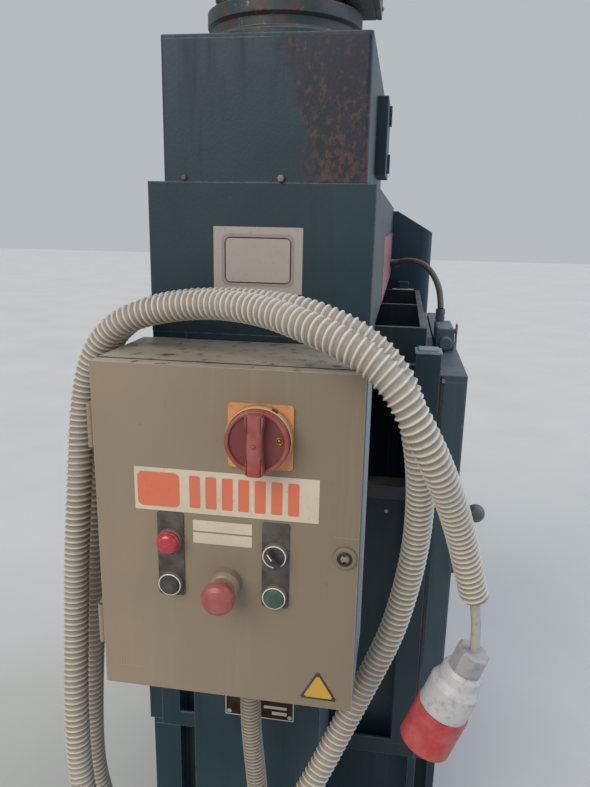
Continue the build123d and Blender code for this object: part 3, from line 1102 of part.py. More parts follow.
def mounting_plate():
    back = FRONT_END_Y - BOX_WALL
    front = back - PLATE_STANDOFF - MOUNTING_PLATE
    x = shrink(BOX_X, MOUNTING_PLATE_INSET)
    z = shrink(BOX_Z, MOUNTING_PLATE_INSET)
    pieces = [block(x, (front, front + MOUNTING_PLATE), z)]
    for stud_x in shrink(x, 14):
        for stud_z in shrink(z, 14):
            pieces.append(rod((stud_x, front, stud_z), (stud_x, back, stud_z), STANDOFF_RADIUS))
    return fuse(pieces)


def control_gear():
    """Contactors, control transformer and terminal strip on the mounting plate."""
    face = FRONT_END_Y - BOX_WALL - PLATE_STANDOFF - MOUNTING_PLATE

    def unit(x, z, size):
        wide, deep, tall = size
        return block((x - wide / 2, x + wide / 2), (face - deep, face), (z - tall / 2, z + tall / 2))

    units = []
    for x in CONTACTOR_X:
        width, depth, height = CONTACTOR_SIZE
        contactor = unit(x, CONTACTOR_Z, CONTACTOR_SIZE)
        forward = Pos(0, CONTACTOR_STEP_DEPTH - depth, 0)
        notch = forward * unit(x, CONTACTOR_Z, (width + 2, CONTACTOR_STEP_DEPTH, height - 2 * CONTACTOR_STEP_HEIGHT))
        rim = contactor & (forward * unit(x, CONTACTOR_Z, (width + 2, CONTACTOR_STEP_DEPTH, height + 2)))
        units.append(contactor - (rim - notch))
    units.append(unit(TRANSFORMER_X, CONTACTOR_Z, TRANSFORMER_SIZE))
    units.append(unit((BOX_X[0] + BOX_X[1]) / 2, TERMINAL_STRIP_Z, TERMINAL_STRIP_SIZE))
    return units


DEVICES_ON_LEGENDS = (LAMP_XZ, BLACK_BUTTON_XZ, SELECTOR_XZ, GREEN_BUTTON_XZ)
LEGEND_FACE_Y = DOOR_FACE_Y - LEGEND_THICKNESS


def door_hole(xz, radius):
    return rod((xz[0], DOOR_FACE_Y - 3 * LEGEND_THICKNESS, xz[1]), (xz[0], DOOR_FACE_Y + 6, xz[1]), radius)


def enclosure_door():
    """Folded door pan with holes for its devices and the moving hinge knuckles."""
    y = (DOOR_FACE_Y, DOOR_BACK_Y)
    pan = block(BOX_X, y, BOX_Z)
    pan -= block(shrink(BOX_X, BOX_WALL), (y[0] + BOX_WALL, y[1] + 1), shrink(BOX_Z, BOX_WALL))
    for xz in DEVICES_ON_LEGENDS + (EMERGENCY_STOP_XZ,):
        pan -= door_hole(xz, BEZEL_THREAD_RADIUS + DEVICE_CLEARANCE)
    pan -= door_hole(MAIN_SWITCH_XZ, SWITCH_SHAFT_RADIUS + 2)
    pan -= door_hole(LOCK_XZ, LOCK_BARREL_RADIUS + RUNNING_FIT)
    return fuse([pan] + [enclosure_hinge(z, moving=True) for z in ENCLOSURE_HINGE_Z])


def legend_plates():
    plates = []
    for x, z in LEGEND_XZ:
        wide, tall = LEGEND_SIZE
        plate = block((x - wide / 2, x + wide / 2), (LEGEND_FACE_Y, DOOR_FACE_Y), (z - tall / 2, z + tall / 2))
        plate = fillet(plate.edges().filter_by(Axis.Y), LEGEND_CORNER)
        for device in DEVICES_ON_LEGENDS:
            if abs(device[0] - x) < wide / 2:
                plate -= door_hole(device, BEZEL_THREAD_RADIUS + DEVICE_CLEARANCE)
        plates.append(plate)
    return plates


def bezel(xz):
    """Round bezel with a cup for its button and a threaded neck through the door."""
    cup = BUTTON_RADIUS + BODY_GAP
    bore = STEM_RADIUS + RUNNING_FIT
    profile = [(bore, -BEZEL_THREAD_LENGTH), (BEZEL_THREAD_RADIUS, -BEZEL_THREAD_LENGTH), (BEZEL_THREAD_RADIUS, 0),
               (BEZEL_RADIUS, 0), (BEZEL_RADIUS, BEZEL_PROUD - 2.5), (BEZEL_RADIUS - 1, BEZEL_PROUD - 0.7),
               (cup + 0.8, BEZEL_PROUD), (cup, BEZEL_PROUD), (cup, BEZEL_FLOOR), (bore, BEZEL_FLOOR)]
    return turned_on_door(profile, xz, LEGEND_FACE_Y)


def stop_collar():
    """Grey collar of the emergency stop, with its neck through the door."""
    bore = MUSHROOM_STEM_RADIUS + RUNNING_FIT
    neck = BEZEL_THREAD_LENGTH - LEGEND_THICKNESS
    profile = [(bore, -neck), (BEZEL_THREAD_RADIUS, -neck), (BEZEL_THREAD_RADIUS, 0), (COLLAR_RADIUS, 0),
               (COLLAR_RADIUS, COLLAR_PROUD - 5), (COLLAR_RADIUS - 2, COLLAR_PROUD - 1.5),
               (COLLAR_RADIUS - 4, COLLAR_PROUD), (bore, COLLAR_PROUD)]
    return turned_on_door(profile, EMERGENCY_STOP_XZ, DOOR_FACE_Y)


def contact_blocks():
    """The switch bodies behind the door: one for each pilot device and a larger one for the main switch."""
    back_of_skin = DOOR_FACE_Y + BOX_WALL
    half = CONTACT_BLOCK_SIDE / 2
    pocket_end = back_of_skin + CONTACT_POCKET_DEPTH
    thread_end = LEGEND_FACE_Y + BEZEL_THREAD_LENGTH
    blocks = []
    for x, z in DEVICES_ON_LEGENDS + (EMERGENCY_STOP_XZ,):
        body = block((x - half, x + half), (back_of_skin, back_of_skin + CONTACT_BLOCK_DEPTH), (z - half, z + half))
        body -= rod((x, back_of_skin - 1, z), (x, thread_end, z), BEZEL_THREAD_RADIUS + DEVICE_CLEARANCE)
        body -= rod((x, back_of_skin - 1, z), (x, pocket_end, z), MUSHROOM_STEM_RADIUS + 1)
        blocks.append(body)
    x, z = MAIN_SWITCH_XZ
    half = SWITCH_BODY_SIDE / 2
    body = block((x - half, x + half), (back_of_skin, back_of_skin + SWITCH_BODY_DEPTH), (z - half, z + half))
    blocks.append(body - rod((x, back_of_skin - 1, z), (x, pocket_end, z), SWITCH_SHAFT_RADIUS + RUNNING_FIT))
    return blocks


def lamp_lens():
    """Domed lens that fills the bezel's cup, with its lamp holder down the neck."""
    out = BEZEL_FLOOR
    radius = BUTTON_RADIUS + BODY_GAP - RUNNING_FIT
    dome = [(radius * math.cos(angle), out + 6 + 6 * math.sin(angle)) for angle in (0, 0.4, 0.8, 1.2)]
    profile = [(0, -BEZEL_THREAD_LENGTH + 2), (STEM_RADIUS, -BEZEL_THREAD_LENGTH + 2), (STEM_RADIUS, out), (radius, out)]
    profile += dome + [(0, out + 12)]
    return turned_on_door(profile, LAMP_XZ, LEGEND_FACE_Y)


def push_button(xz):
    """Button cap and stem; at rest the cap stands proud of the bezel by its travel."""
    top = BEZEL_PROUD + BUTTON_PROUD
    under = BEZEL_FLOOR + BUTTON_TRAVEL + BODY_GAP
    profile = [(0, under - STEM_LENGTH), (STEM_RADIUS, under - STEM_LENGTH), (STEM_RADIUS, under), (BUTTON_RADIUS, under),
               (BUTTON_RADIUS, top - 1), (BUTTON_RADIUS - 1, top), (0, top)]
    return turned_on_door(profile, xz, LEGEND_FACE_Y)


def selector_knob():
    """Disc with a raised grip bar, turned so that the grip points up and to the left."""
    under = BEZEL_FLOOR + BODY_GAP
    top = BEZEL_PROUD + 1.5
    profile = [(0, under - STEM_LENGTH), (STEM_RADIUS, under - STEM_LENGTH), (STEM_RADIUS, under), (BUTTON_RADIUS, under),
               (BUTTON_RADIUS, top), (0, top)]
    disc = turned_on_door(profile, SELECTOR_XZ, LEGEND_FACE_Y)
    x, z = SELECTOR_XZ
    face = LEGEND_FACE_Y - top
    grip = block((x - GRIP_WIDTH / 2, x + GRIP_WIDTH / 2), (face - GRIP_PROUD, face + 1),
                 (z - BUTTON_RADIUS + 1.5, z + BUTTON_RADIUS - 0.6))
    grip = fillet(grip.edges().filter_by(Axis.Z).sort_by(Axis.Y)[:2], 1.5)
    grip = grip.rotate(Axis((x, 0, z), (0, 1, 0)), -SELECTOR_POINTER_ANGLE)
    return fuse([disc, grip])


def emergency_stop():
    """Mushroom head on its stem."""
    top = MUSHROOM_PROUD
    under = top - MUSHROOM_THICKNESS
    edge = MUSHROOM_RADIUS
    profile = [(0, under - MUSHROOM_STEM_LENGTH), (MUSHROOM_STEM_RADIUS, under - MUSHROOM_STEM_LENGTH),
               (MUSHROOM_STEM_RADIUS, under), (edge - 3, under), (edge, under + 4), (edge, under + 8),
               (edge - 2, under + 12.5), (edge - 6, under + 15.5), (edge - 12, top), (0, top)]
    return turned_on_door(profile, EMERGENCY_STOP_XZ, DOOR_FACE_Y)


def main_switch_plate():
    x, z = MAIN_SWITCH_XZ
    wide, tall = SWITCH_PLATE_SIZE
    face = DOOR_FACE_Y - SWITCH_PLATE_THICKNESS
    plate = block((x - wide / 2, x + wide / 2), (face, DOOR_FACE_Y), (z - tall / 2, z + tall / 2))
    plate = fillet(plate.edges().filter_by(Axis.Y), 4)
    return plate - rod((x, face - 1, z), (x, DOOR_FACE_Y + 1, z), SWITCH_SHAFT_RADIUS + RUNNING_FIT)


def main_switch_handle():
    """Round handle with a grip across it and its shaft into the switch body."""
    x, z = MAIN_SWITCH_XZ
    out = SWITCH_PLATE_THICKNESS + BODY_GAP
    disc = turned_on_door([(0, 0), (SWITCH_DISC_RADIUS, 0), (SWITCH_DISC_RADIUS, SWITCH_DISC_THICKNESS - 3),
                           (SWITCH_DISC_RADIUS - 3, SWITCH_DISC_THICKNESS), (0, SWITCH_DISC_THICKNESS)],
                          MAIN_SWITCH_XZ, DOOR_FACE_Y - out)
    face = DOOR_FACE_Y - SWITCH_GRIP_PROUD
    grip = block((x - SWITCH_GRIP_WIDTH / 2, x + SWITCH_GRIP_WIDTH / 2), (face, DOOR_FACE_Y - out - 2),
                 (z - SWITCH_DISC_RADIUS + 2, z + SWITCH_DISC_RADIUS - 2))
    grip = fillet(grip.edges().filter_by(Axis.Z).sort_by(Axis.Y)[:2], 4)
    shaft_start = DOOR_FACE_Y - out
    shaft = rod((x, shaft_start - 1, z), (x, shaft_start + SWITCH_SHAFT_LENGTH - 12, z), SWITCH_SHAFT_RADIUS)
    return fuse([disc, grip, shaft])


def door_lock():
    """Quarter-turn insert: face with a key slot, barrel, nut behind the door and the cam."""
    x, z = LOCK_XZ
    skin_back = DOOR_FACE_Y + BOX_WALL
    cam_front = BOX_FRONT_Y + LOCK_CAM_BACK
    face = rod((x, DOOR_FACE_Y - LOCK_FACE_THICKNESS, z), (x, DOOR_FACE_Y - BODY_GAP, z), LOCK_FACE_RADIUS)
    face = fillet(face.edges().sort_by(Axis.Y)[:1], 1.5)
    barrel = rod((x, DOOR_FACE_Y - BODY_GAP, z), (x, cam_front + LOCK_CAM_THICKNESS, z), LOCK_BARREL_RADIUS)
    nut = rod((x, skin_back + BODY_GAP, z), (x, skin_back + 5, z), LOCK_NUT_RADIUS)
    cam = block((x - LOCK_CAM_WIDTH / 2, x + LOCK_CAM_WIDTH / 2), (cam_front, cam_front + LOCK_CAM_THICKNESS),
                (z - LOCK_CAM_RADIUS, z))
    slot_wide, slot_tall = LOCK_SLOT
    slot = block((x - slot_wide / 2, x + slot_wide / 2), (DOOR_FACE_Y - LOCK_FACE_THICKNESS - 1, DOOR_FACE_Y - 1),
                 (z - slot_tall / 2, z + slot_tall / 2))
    return fuse([face, barrel, nut, cam]) - slot


# Conduit fittings, cords and plug

def elbow(entry, turn, exit_point, radius):
    """A right-angled connector: two round legs and a ball at the turn."""
    return fuse([rod(entry, turn, radius), Pos(*turn) * Sphere(radius), rod(turn, exit_point, radius)])


def conduit_fittings():
    """Gland under the enclosure, elbow at the foot of the motor conduit, elbow at the supply conduit."""
    x, y, gland_bottom = MOTOR_CONDUIT_ROUTE[0]
    top = BOX_Z[0]
    gland = fuse([rod((x, y, gland_bottom), (x, y, top - 16), MOTOR_GLAND_RADIUS),
                  Pos(x, y, top - 16) * extrude(RegularPolygon(MOTOR_GLAND_RADIUS + 3, 6), amount=12),
                  rod((x, y, top - 4), (x, y, top), MOTOR_GLAND_RADIUS),
                  rod((x, y, top), (x, y, top + 12), MOTOR_GLAND_THREAD_RADIUS)])
    foot_x, foot_y, foot_z = MOTOR_CONDUIT_ROUTE[-1]
    turn_z = foot_z - 2 * MOTOR_GLAND_RADIUS
    lower = elbow((foot_x, FRONT_END_Y, turn_z), (foot_x, foot_y, turn_z), (foot_x, foot_y, foot_z), MOTOR_GLAND_RADIUS)
    supply_x, supply_y, supply_z = SUPPLY_CONDUIT_ROUTE[0]
    turn_z = supply_z - 35
    supply = elbow((-COLUMN_WIDTH / 2, supply_y, turn_z), (supply_x, supply_y, turn_z), (supply_x, supply_y, supply_z),
                   SUPPLY_ELBOW_RADIUS)
    return gland, lower, supply


PLUG_PLANE = Plane(origin=PLUG_BACK, x_dir=(0, 1, 0), z_dir=PLUG_AXIS)


def plug_turned(profile):
    outline = Polyline(*[(radius, 0, height) for radius, height in profile], close=True)
    return PLUG_PLANE * revolve(make_face(outline), axis=Axis.Z)


def plug_nut():
    """Clamp nut with finger flats."""
    nut = extrude(RegularPolygon(PLUG_NUT_RADIUS, PLUG_NUT_FLATS), amount=PLUG_NUT_LENGTH)
    nut = chamfer(nut.edges().sort_by(Axis.Z)[:PLUG_NUT_FLATS], 3)
    return PLUG_PLANE * nut


def plug_body():
    """Tapered grip that widens to a rim where the collar starts."""
    start = PLUG_NUT_LENGTH
    end = start + PLUG_BODY_LENGTH
    neck_end = start + PLUG_NECK_LENGTH
    profile = [(0, start), (PLUG_NECK_RADIUS - 3, start), (PLUG_NECK_RADIUS, start + PLUG_SHOULDER),
               (PLUG_NECK_RADIUS + 1, neck_end), (PLUG_BODY_RADIUS, neck_end + PLUG_TAPER_LENGTH),
               (PLUG_BODY_RADIUS, end), (0, end)]
    return plug_turned(profile)


def plug_collar():
    """Shroud round the pins with an insert at its root and a key along its outside."""
    start = PLUG_NUT_LENGTH + PLUG_BODY_LENGTH
    end = start + PLUG_COLLAR_LENGTH
    insert = end - PLUG_INSERT_DEPTH
    bore = PLUG_COLLAR_RADIUS - PLUG_COLLAR_WALL
    collar = plug_turned([(0, start), (PLUG_COLLAR_RADIUS, start), (PLUG_COLLAR_RADIUS, end), (bore, end), (bore, insert),
                          (0, insert)])
    key = PLUG_PLANE * block((PLUG_COLLAR_RADIUS - 2, PLUG_COLLAR_RADIUS + 3), (-PLUG_KEY_WIDTH / 2, PLUG_KEY_WIDTH / 2),
                             (start + 12, end))
    return fuse([collar, key])


def plug_pins():
    insert = PLUG_NUT_LENGTH + PLUG_BODY_LENGTH + PLUG_COLLAR_LENGTH - PLUG_INSERT_DEPTH
    pins = []
    for index in range(PLUG_PIN_COUNT):
        angle = 2 * math.pi * index / PLUG_PIN_COUNT
        x = PLUG_PIN_CIRCLE * math.cos(angle)
        y = PLUG_PIN_CIRCLE * math.sin(angle)
        pin = rod((x, y, insert), (x, y, insert + PLUG_PIN_LENGTH), PLUG_PIN_RADIUS)
        pins.append(PLUG_PLANE * fillet(pin.edges().sort_by(Axis.Z)[-1:], 1.5))
    return pins


def door_hinges_fixed():
    return [hinge_parts(bottom)[0] for bottom in DOOR_HINGE_Z]


def device_bezels():
    return [bezel(xz) for xz in DEVICES_ON_LEGENDS] + [stop_collar()]


NODES = {
    "base_frame": base_frame, "front_legs": front_legs, "front_column": front_column, "rear_column": rear_column,
    "head_beam": head_beam, "chamber_floor": chamber_floor, "left_side_wall": left_side_wall,
    "right_side_frame": right_side_frame, "front_wall": front_wall, "corner_post": corner_post,
    "door_hinges_fixed": door_hinges_fixed, "loading_door": loading_door, "latch_lever": latch_lever,
    "ball_knob": ball_knob, "safety_switch": safety_switch, "switch_plunger": switch_plunger,
    "switch_actuator": switch_actuator, "switch_glands": switch_glands, "cylinder_barrel": cylinder_barrel,
    "rod_gland": rod_gland, "piston_rod": piston_rod, "press_plate": press_plate, "guide_shoes": guide_shoes,
    "oil_tank": oil_tank, "tank_lid": tank_lid, "tank_side_cover": tank_side_cover, "filler_cap": filler_cap,
    "motor_adaptor": motor_adaptor, "motor_body": motor_body, "motor_rotor": motor_rotor, "fan_cowl": fan_cowl,
    "terminal_box": terminal_box, "pump": pump, "valve_block": valve_block, "pressure_pipes": pressure_pipes,
    "enclosure_body": enclosure_body, "mounting_plate": mounting_plate, "control_gear": control_gear,
    "enclosure_door": enclosure_door, "legend_plates": legend_plates, "device_bezels": device_bezels,
    "contact_blocks": contact_blocks, "lamp_lens": lamp_lens,
    "button_black": lambda: push_button(BLACK_BUTTON_XZ), "button_green": lambda: push_button(GREEN_BUTTON_XZ),
    "selector_knob": selector_knob, "emergency_stop": emergency_stop, "main_switch_plate": main_switch_plate,
    "main_switch_handle": main_switch_handle, "door_lock": door_lock, "conduit_fittings": conduit_fittings,
    "plug_nut": plug_nut, "plug_body": plug_body, "plug_collar": plug_collar, "plug_pins": plug_pins,
    "motor_conduit": lambda: cord_tube("motor_conduit", MOTOR_CONDUIT_ROUTE, MOTOR_CONDUIT_RADIUS),
    "supply_conduit": lambda: cord_tube("supply_conduit", SUPPLY_CONDUIT_ROUTE, SUPPLY_CONDUIT_RADIUS),
    "supply_cable": lambda: cord_tube("supply_cable", CABLE_ROUTE, CABLE_RADIUS),
    "switch_conduit": lambda: cord_tube("switch_conduit", SWITCH_CONDUIT_ROUTE, SWITCH_CONDUIT_RADIUS),
}


def main():
    os.makedirs("parts", exist_ok=True)
    for name, make in NODES.items():
        made = make()
        pieces = list(made) if isinstance(made, (list, tuple)) else [made]
        solids = [solid for piece in pieces for solid in piece.solids()]
        shape = solids[0] if len(solids) == 1 else Compound(children=solids)
        export_step(shape, f"parts/{name}.step")


main()
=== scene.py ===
"""Looks for a side-loaded waste press: finishes for its CAD pieces, and the small pieces it leaves out."""
import math

import bmesh
import bpy
from mathutils import Matrix, Vector


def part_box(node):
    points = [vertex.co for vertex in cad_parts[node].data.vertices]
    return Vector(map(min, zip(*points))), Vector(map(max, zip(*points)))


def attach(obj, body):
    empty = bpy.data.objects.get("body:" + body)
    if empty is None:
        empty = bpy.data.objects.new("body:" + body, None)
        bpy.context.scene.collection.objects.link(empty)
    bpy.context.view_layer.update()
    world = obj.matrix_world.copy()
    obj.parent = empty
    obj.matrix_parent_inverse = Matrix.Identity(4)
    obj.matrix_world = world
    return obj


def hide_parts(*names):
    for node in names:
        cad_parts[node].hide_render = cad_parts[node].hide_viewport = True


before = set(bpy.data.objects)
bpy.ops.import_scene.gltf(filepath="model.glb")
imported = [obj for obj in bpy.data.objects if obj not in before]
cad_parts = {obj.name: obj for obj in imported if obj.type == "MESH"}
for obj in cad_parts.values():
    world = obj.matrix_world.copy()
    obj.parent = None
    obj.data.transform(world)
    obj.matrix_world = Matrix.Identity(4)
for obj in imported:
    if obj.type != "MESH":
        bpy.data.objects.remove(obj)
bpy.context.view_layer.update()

bl_info = {
    "name": "Waste press looks",
    "version": (1, 0, 0),
    "blender": (4, 5, 0),
    "location": "3D View > Sidebar > Waste press",
    "description": "Dresses the packed waste press with finishes, conduits, fasteners and plates",
    "category": "Object",
}

MM = 0.001

# The camera stands where the photograph was taken, worked out from the enclosure's corners
PHOTO_HEIGHT = 787
FOCAL_PIXELS = 667.43
SENSOR = 36.0
CAMERA_PLACE = Vector((0.17673, -1.48426, 1.49906))
CAMERA_YAW_LEFT = math.radians(8.833)
CAMERA_PITCH_DOWN = math.radians(14.314)
CAMERA_ROLL = math.radians(1.162)

# The routes of the conduits and the cable, the same points as in the part's source
MOTOR_CONDUIT_RADIUS = 14.0 * MM
MOTOR_CONDUIT_ROUTE = [
    (9.4, -740, 905), (9.4, -740, 868), (12, -740, 822), (17.5, -741, 772),
    (22, -741, 715), (24.5, -738, 656), (24.5, -731, 598), (22, -720, 545),
    (20, -712, 503), (20, -712, 465)]
SUPPLY_CONDUIT_RADIUS = 17.0 * MM
SUPPLY_CONDUIT_ROUTE = [
    (-143, -590, 235), (-143, -590, 290), (-153, -601, 360), (-178, -624, 435),
    (-211, -652, 510), (-236, -676, 592), (-247, -688, 680), (-245, -691, 772),
    (-239, -691, 862), (-232.5, -689, 950), (-228, -685.5, 1034), (-224.5, -682.5, 1123.5),
    (-225.5, -670.5, 1211.5), (-214.5, -669, 1297.5),
    (-186.5, -683.5, 1355.5), (-146, -696, 1387), (-97.5, -707, 1401.5), (-41, -720, 1408.5),
    (23.5, -742.5, 1410), (76, -769.5, 1406), (119.5, -786, 1394), (155, -793.5, 1374.5),
    (181.5, -796.5, 1344), (196, -794, 1306.5), (207, -781.5, 1256.5), (212.5, -753, 1192),
    (212, -727, 1120.5), (203, -715, 1049.5), (189, -712.5, 985.5), (166, -714, 925),
    (140, -722, 865), (101, -743, 778), (55.5, -769, 694.5), (-8.5, -785, 628.5),
    (-83, -796, 601), (-155, -791, 614), (-206, -776.5, 661), (-231, -759.5, 728.5),
    (-233.5, -755.5, 846), (-235.5, -732, 979.5), (-226.5, -734.5, 1088.5), (-220, -729.5, 1172),
    (-218.5, -719, 1241.5), (-209.5, -717.5, 1300), (-186, -727.5, 1351), (-147, -740.5, 1384.5),
    (-96.5, -750, 1401), (-29, -769, 1411.5), (37, -806, 1411), (84.5, -837, 1401.5),
    (123, -855, 1389.5), (155, -864, 1373.5), (179.5, -869.5, 1350), (198, -869.5, 1318.5),
    (216.5, -860, 1282), (232, -839, 1244), (247.5, -814.5, 1202), (262, -790, 1152),
    (280, -770, 1086)]
CABLE_RADIUS = 5.8 * MM
CABLE_ROUTE = [
    (280, -770, 1086), (284.5, -765.5, 1060), (287, -762.5, 1036), (288, -760, 1009)]
SWITCH_CONDUIT_RADIUS = 7.0 * MM
SWITCH_CONDUIT_ROUTE = [
    (158, 384, 1398), (158, 358, 1398), (167, 322, 1406), (189, 280, 1413),
    (216, 220, 1412), (238, 150, 1402), (254, 86, 1379), (263, 44, 1351),
    (264, 22, 1322)]

# How narrow the conduits' ridges are beside their valleys, and the thin conduit's own ridges
RIDGE_SHARPNESS = 2.8
SWITCH_RIDGE_PITCH = 4.0 * MM
SWITCH_RIDGE_DEPTH = 0.8 * MM

# The stage: half the floor's side, the surroundings, and each sun as its name, the direction towards it, its
# strength, its spread in degrees and its colour
FLOOR_HALF = 30.0
WORLD_STRENGTH = 0.58
WORLD_COLOUR = "#e9eff5"
SUNS = (("key", (-0.5, -1.0, 0.75), 2.0, 45, "#fffaf2"), ("fill", (1.0, 0.15, 0.6), 1.4, 60, "#bcd8ff"),
        ("top", (0.5, 0.35, 1.0), 0.8, 50, "#ffffff"))

# Faces that the small pieces sit on, read from the frame
DOOR_FACE_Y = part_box("enclosure_door")[0][1]
DOOR_BACK_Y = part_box("enclosure_door")[1][1]
BODY_TOP_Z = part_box("enclosure_body")[1][2]
# Sides of the enclosure's box itself, without its hinge lugs, as left, right, bottom and top
BOX_SIDES = (-0.153, 0.147, 0.950, 1.351)
BOX_FRONT_Y = -0.8015
BEAM_LOW, BEAM_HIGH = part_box("head_beam")
COLUMN_FRONT_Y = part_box("front_column")[0][1]
COLUMN_BACK_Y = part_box("front_column")[1][1]
TANK_LOW, TANK_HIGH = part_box("oil_tank")
FRONT_WALL_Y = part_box("front_wall")[0][1]
LOADING_FACE_X = -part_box("left_side_wall")[0][0]

BEZEL_FACE_Y = DOOR_FACE_Y - 9.0 * MM
SWITCH_DISC_Y = DOOR_FACE_Y - 22.3 * MM

# Axes of the devices on the enclosure's door, as (x, z)
STOP_AXIS = (-0.001, 1.102)
SELECTOR_AXIS = (0.0555, 1.143)
LAMP_AXIS = (-0.0655, 1.149)
BLACK_AXIS = (-0.0655, 1.096)
GREEN_AXIS = (0.0555, 1.092)
SWITCH_AXIS = (0.0378, 1.2785)
LOCK_AXIS = (0.1325, 1.1456)
SELECTOR_REST_ANGLE = math.radians(36)

# Vinyl and print on the enclosure's door: middles and corners as (x, z), sizes as (width, height)
PRINT_FILM = 0.12 * MM
DECAL_MIDDLE = (-0.002, 1.2083)
DECAL_SIZE = (0.209, 0.0508)
# One tile and seven bars, as (middle x, width, height)
DECAL_SHAPES = [(-0.0765, 0.049, 0.041)] + [(-0.0345 + index * 0.0185, 0.0125, 0.038) for index in range(7)]
STRIP_X = -0.00545
STRIP_HEIGHTS = (1.1685, 1.1535)
STRIP_SIZE = (0.0679, 0.013)
TRIANGLE = ((0.1069, 0.9991), (0.0856, 0.9609), (0.1303, 0.9607))
# Raised lines of the door as left, right, bottom and top
PRESSING_MARKS = ((-0.1332, -0.1322, 0.9756, 0.9882), (-0.1332, -0.1032, 0.9751, 0.9761),
                  (0.1195, 0.1465, 1.1675, 1.1689))

# Plates on the beam and the column; the strip's middle is (y, z), and the blank fields are middle x and y on
# the plate, width and height
STICKER_MIDDLE = (-0.0015, 1.4533)
STICKER_SIZE = (0.1123, 0.0807)
BEAM_STRIP_MIDDLE = (0.155, 1.4185)
BEAM_STRIP_SIZE = (0.80, 0.118)
RATING_MIDDLE = (0.005, 0.817)
RATING_SIZE = (0.104, 0.060)
RATING_RIVETS = (0.0455, 0.0235)
RATING_BLANKS = ((0.024, -0.009, 0.034, 0.0045), (0.030, -0.0185, 0.022, 0.0055),
                 (-0.028, 0.006, 0.020, 0.0025), (-0.030, 0.014, 0.026, 0.0025))

# Fasteners: the chamber's front as (x, z), hinge leaves of the loading door with the bolts' distances from a
# leaf's end and edge, the cylinder's flange, covers of the power unit
CORNER_BOLT = (0.256, 1.242)
WALL_BOLTS = ((0.172, 0.993), (-0.252, 0.993))
LEAF_BOLT_HEIGHTS = (0.016, 0.064)
LEAF_BOLT_INSETS = (0.012, 0.034)
HINGE_LEAF = 0.004
DOOR_LEAF_EDGE_Y = 0.437
CYLINDER_Y = 0.105
CYLINDER_FLANGE = 0.025
FLANGE_BOLTS = (-0.078, 0.078)
COVER_INSET = 0.012
# Bolts at the foot of the tank's front, as x and their size as a share of the others'
TANK_FOOT_BOLTS = ((-0.0936, 0.45), (0.0268, 0.62))
SWITCH_COVER_SCREWS_Y = (-0.085, -0.012)

# Local axes of a piece that lies on a face: x to the right, y up the face, z out of it
FACING_FRONT = Matrix(((1, 0, 0), (0, 0, -1), (0, 1, 0))).to_4x4()
FACING_RIGHT = Matrix(((0, 0, 1), (1, 0, 0), (0, 1, 0))).to_4x4()


def hex_colour(code):
    """An sRGB hex value as linear red, green, blue and alpha."""
    channels = [int(code[index:index + 2], 16) / 255 for index in (1, 3, 5)]
    linear = [c / 12.92 if c <= 0.04045 else ((c + 0.055) / 1.055) ** 2.4 for c in channels]
    return (*linear, 1.0)


def as_colour(value):
    """A hex code or a linear colour, as a linear colour."""
    return hex_colour(value) if isinstance(value, str) else tuple(value)


def darker(colour, share):
    red, green, blue, _ = as_colour(colour)
    return (red * share, green * share, blue * share, 1.0)


def towards(colour, other, share):
    return tuple(a + (b - a) * share for a, b in zip(as_colour(colour), as_colour(other)))


def colour_property(name, code, description):
    return bpy.props.FloatVectorProperty(name=name, description=description, default=hex_colour(code),
                                         size=4, subtype="COLOR", min=0.0, max=1.0)


def length_property(name, default, least, description):
    """A length given in millimetres."""
    return bpy.props.FloatProperty(name=name, description=description, default=default * MM, min=least * MM,
                                   subtype="DISTANCE", unit="LENGTH")


class PressColours(bpy.types.PropertyGroup):
    """Colours of the paints, plastics and plates."""
    machine: colour_property("Machine enamel", "#152d37", "Enamel on the beam, tank, chamber and base")
    column: colour_property("Column enamel", "#0f2f40", "Darker enamel on the rear column")
    enclosure: colour_property("Enclosure powder coat", "#8b7b66", "Powder coat of the control enclosure")
    conduit: colour_property("Supply conduit", "#c9c0b1", "Ridges of the supply conduit")
    motor_conduit: colour_property("Motor conduit", "#a39988", "Ridges of the motor conduit")
    switch_plate: colour_property("Main switch plate", "#c78447", "Square plate behind the main switch")
    switch_handle: colour_property("Main switch handle", "#8e3833", "Round handle of the main switch")
    stop_button: colour_property("Stop button", "#93403a", "Mushroom head of the emergency stop")
    plug_shell: colour_property("Plug shell", "#adacaa", "Grip of the plug")
    plug_collar: colour_property("Plug collar", "#a52a2c", "Shroud round the plug's pins")
    decal: colour_property("Decal shapes", "#cd6a4b", "Plain shapes on the enclosure's wide decal")


class PressSizes(bpy.types.PropertyGroup):
    """Sizes of the pieces that only the scene makes."""
    supply_ridge_pitch: length_property("Supply conduit ridge pitch", 8.1, 3,
                                        "Distance from ridge to ridge of the supply conduit")
    motor_ridge_pitch: length_property("Motor conduit ridge pitch", 5.0, 3,
                                       "Distance from ridge to ridge of the motor conduit")
    ridge_depth: length_property("Ridge depth", 2.6, 0.5,
                                 "How far the valleys lie below the ridges of the supply conduit")
    decal_thickness: length_property("Decal thickness", 0.4, 0.1, "Thickness of the vinyl plates and strips")
    bolt_width: length_property("Bolt head width", 13.0, 5, "Width across the flats of the hexagon heads")


def colours():
    return bpy.context.scene.press_colours


def sizes():
    return bpy.context.scene.press_sizes


# Materials

X, Y, Z = range(3)
# Sockets of the colour mix node
FACTOR, COLOUR_A, COLOUR_B, MIXED = 0, 6, 7, 2
# How closely a rounded normal agrees with the face's own on a flat
FLAT = 0.998
TOOL_MARKS = (30, 30, 900)
RUST = "#4a2a22"
PRIMER = "#7c5f4c"
DUST = "#8f8878"
# Pale colour along every enamel edge: a painted highlight, with some rubbed paint
RUBBED_EDGE_HIGHLIGHT = "#7d9095"


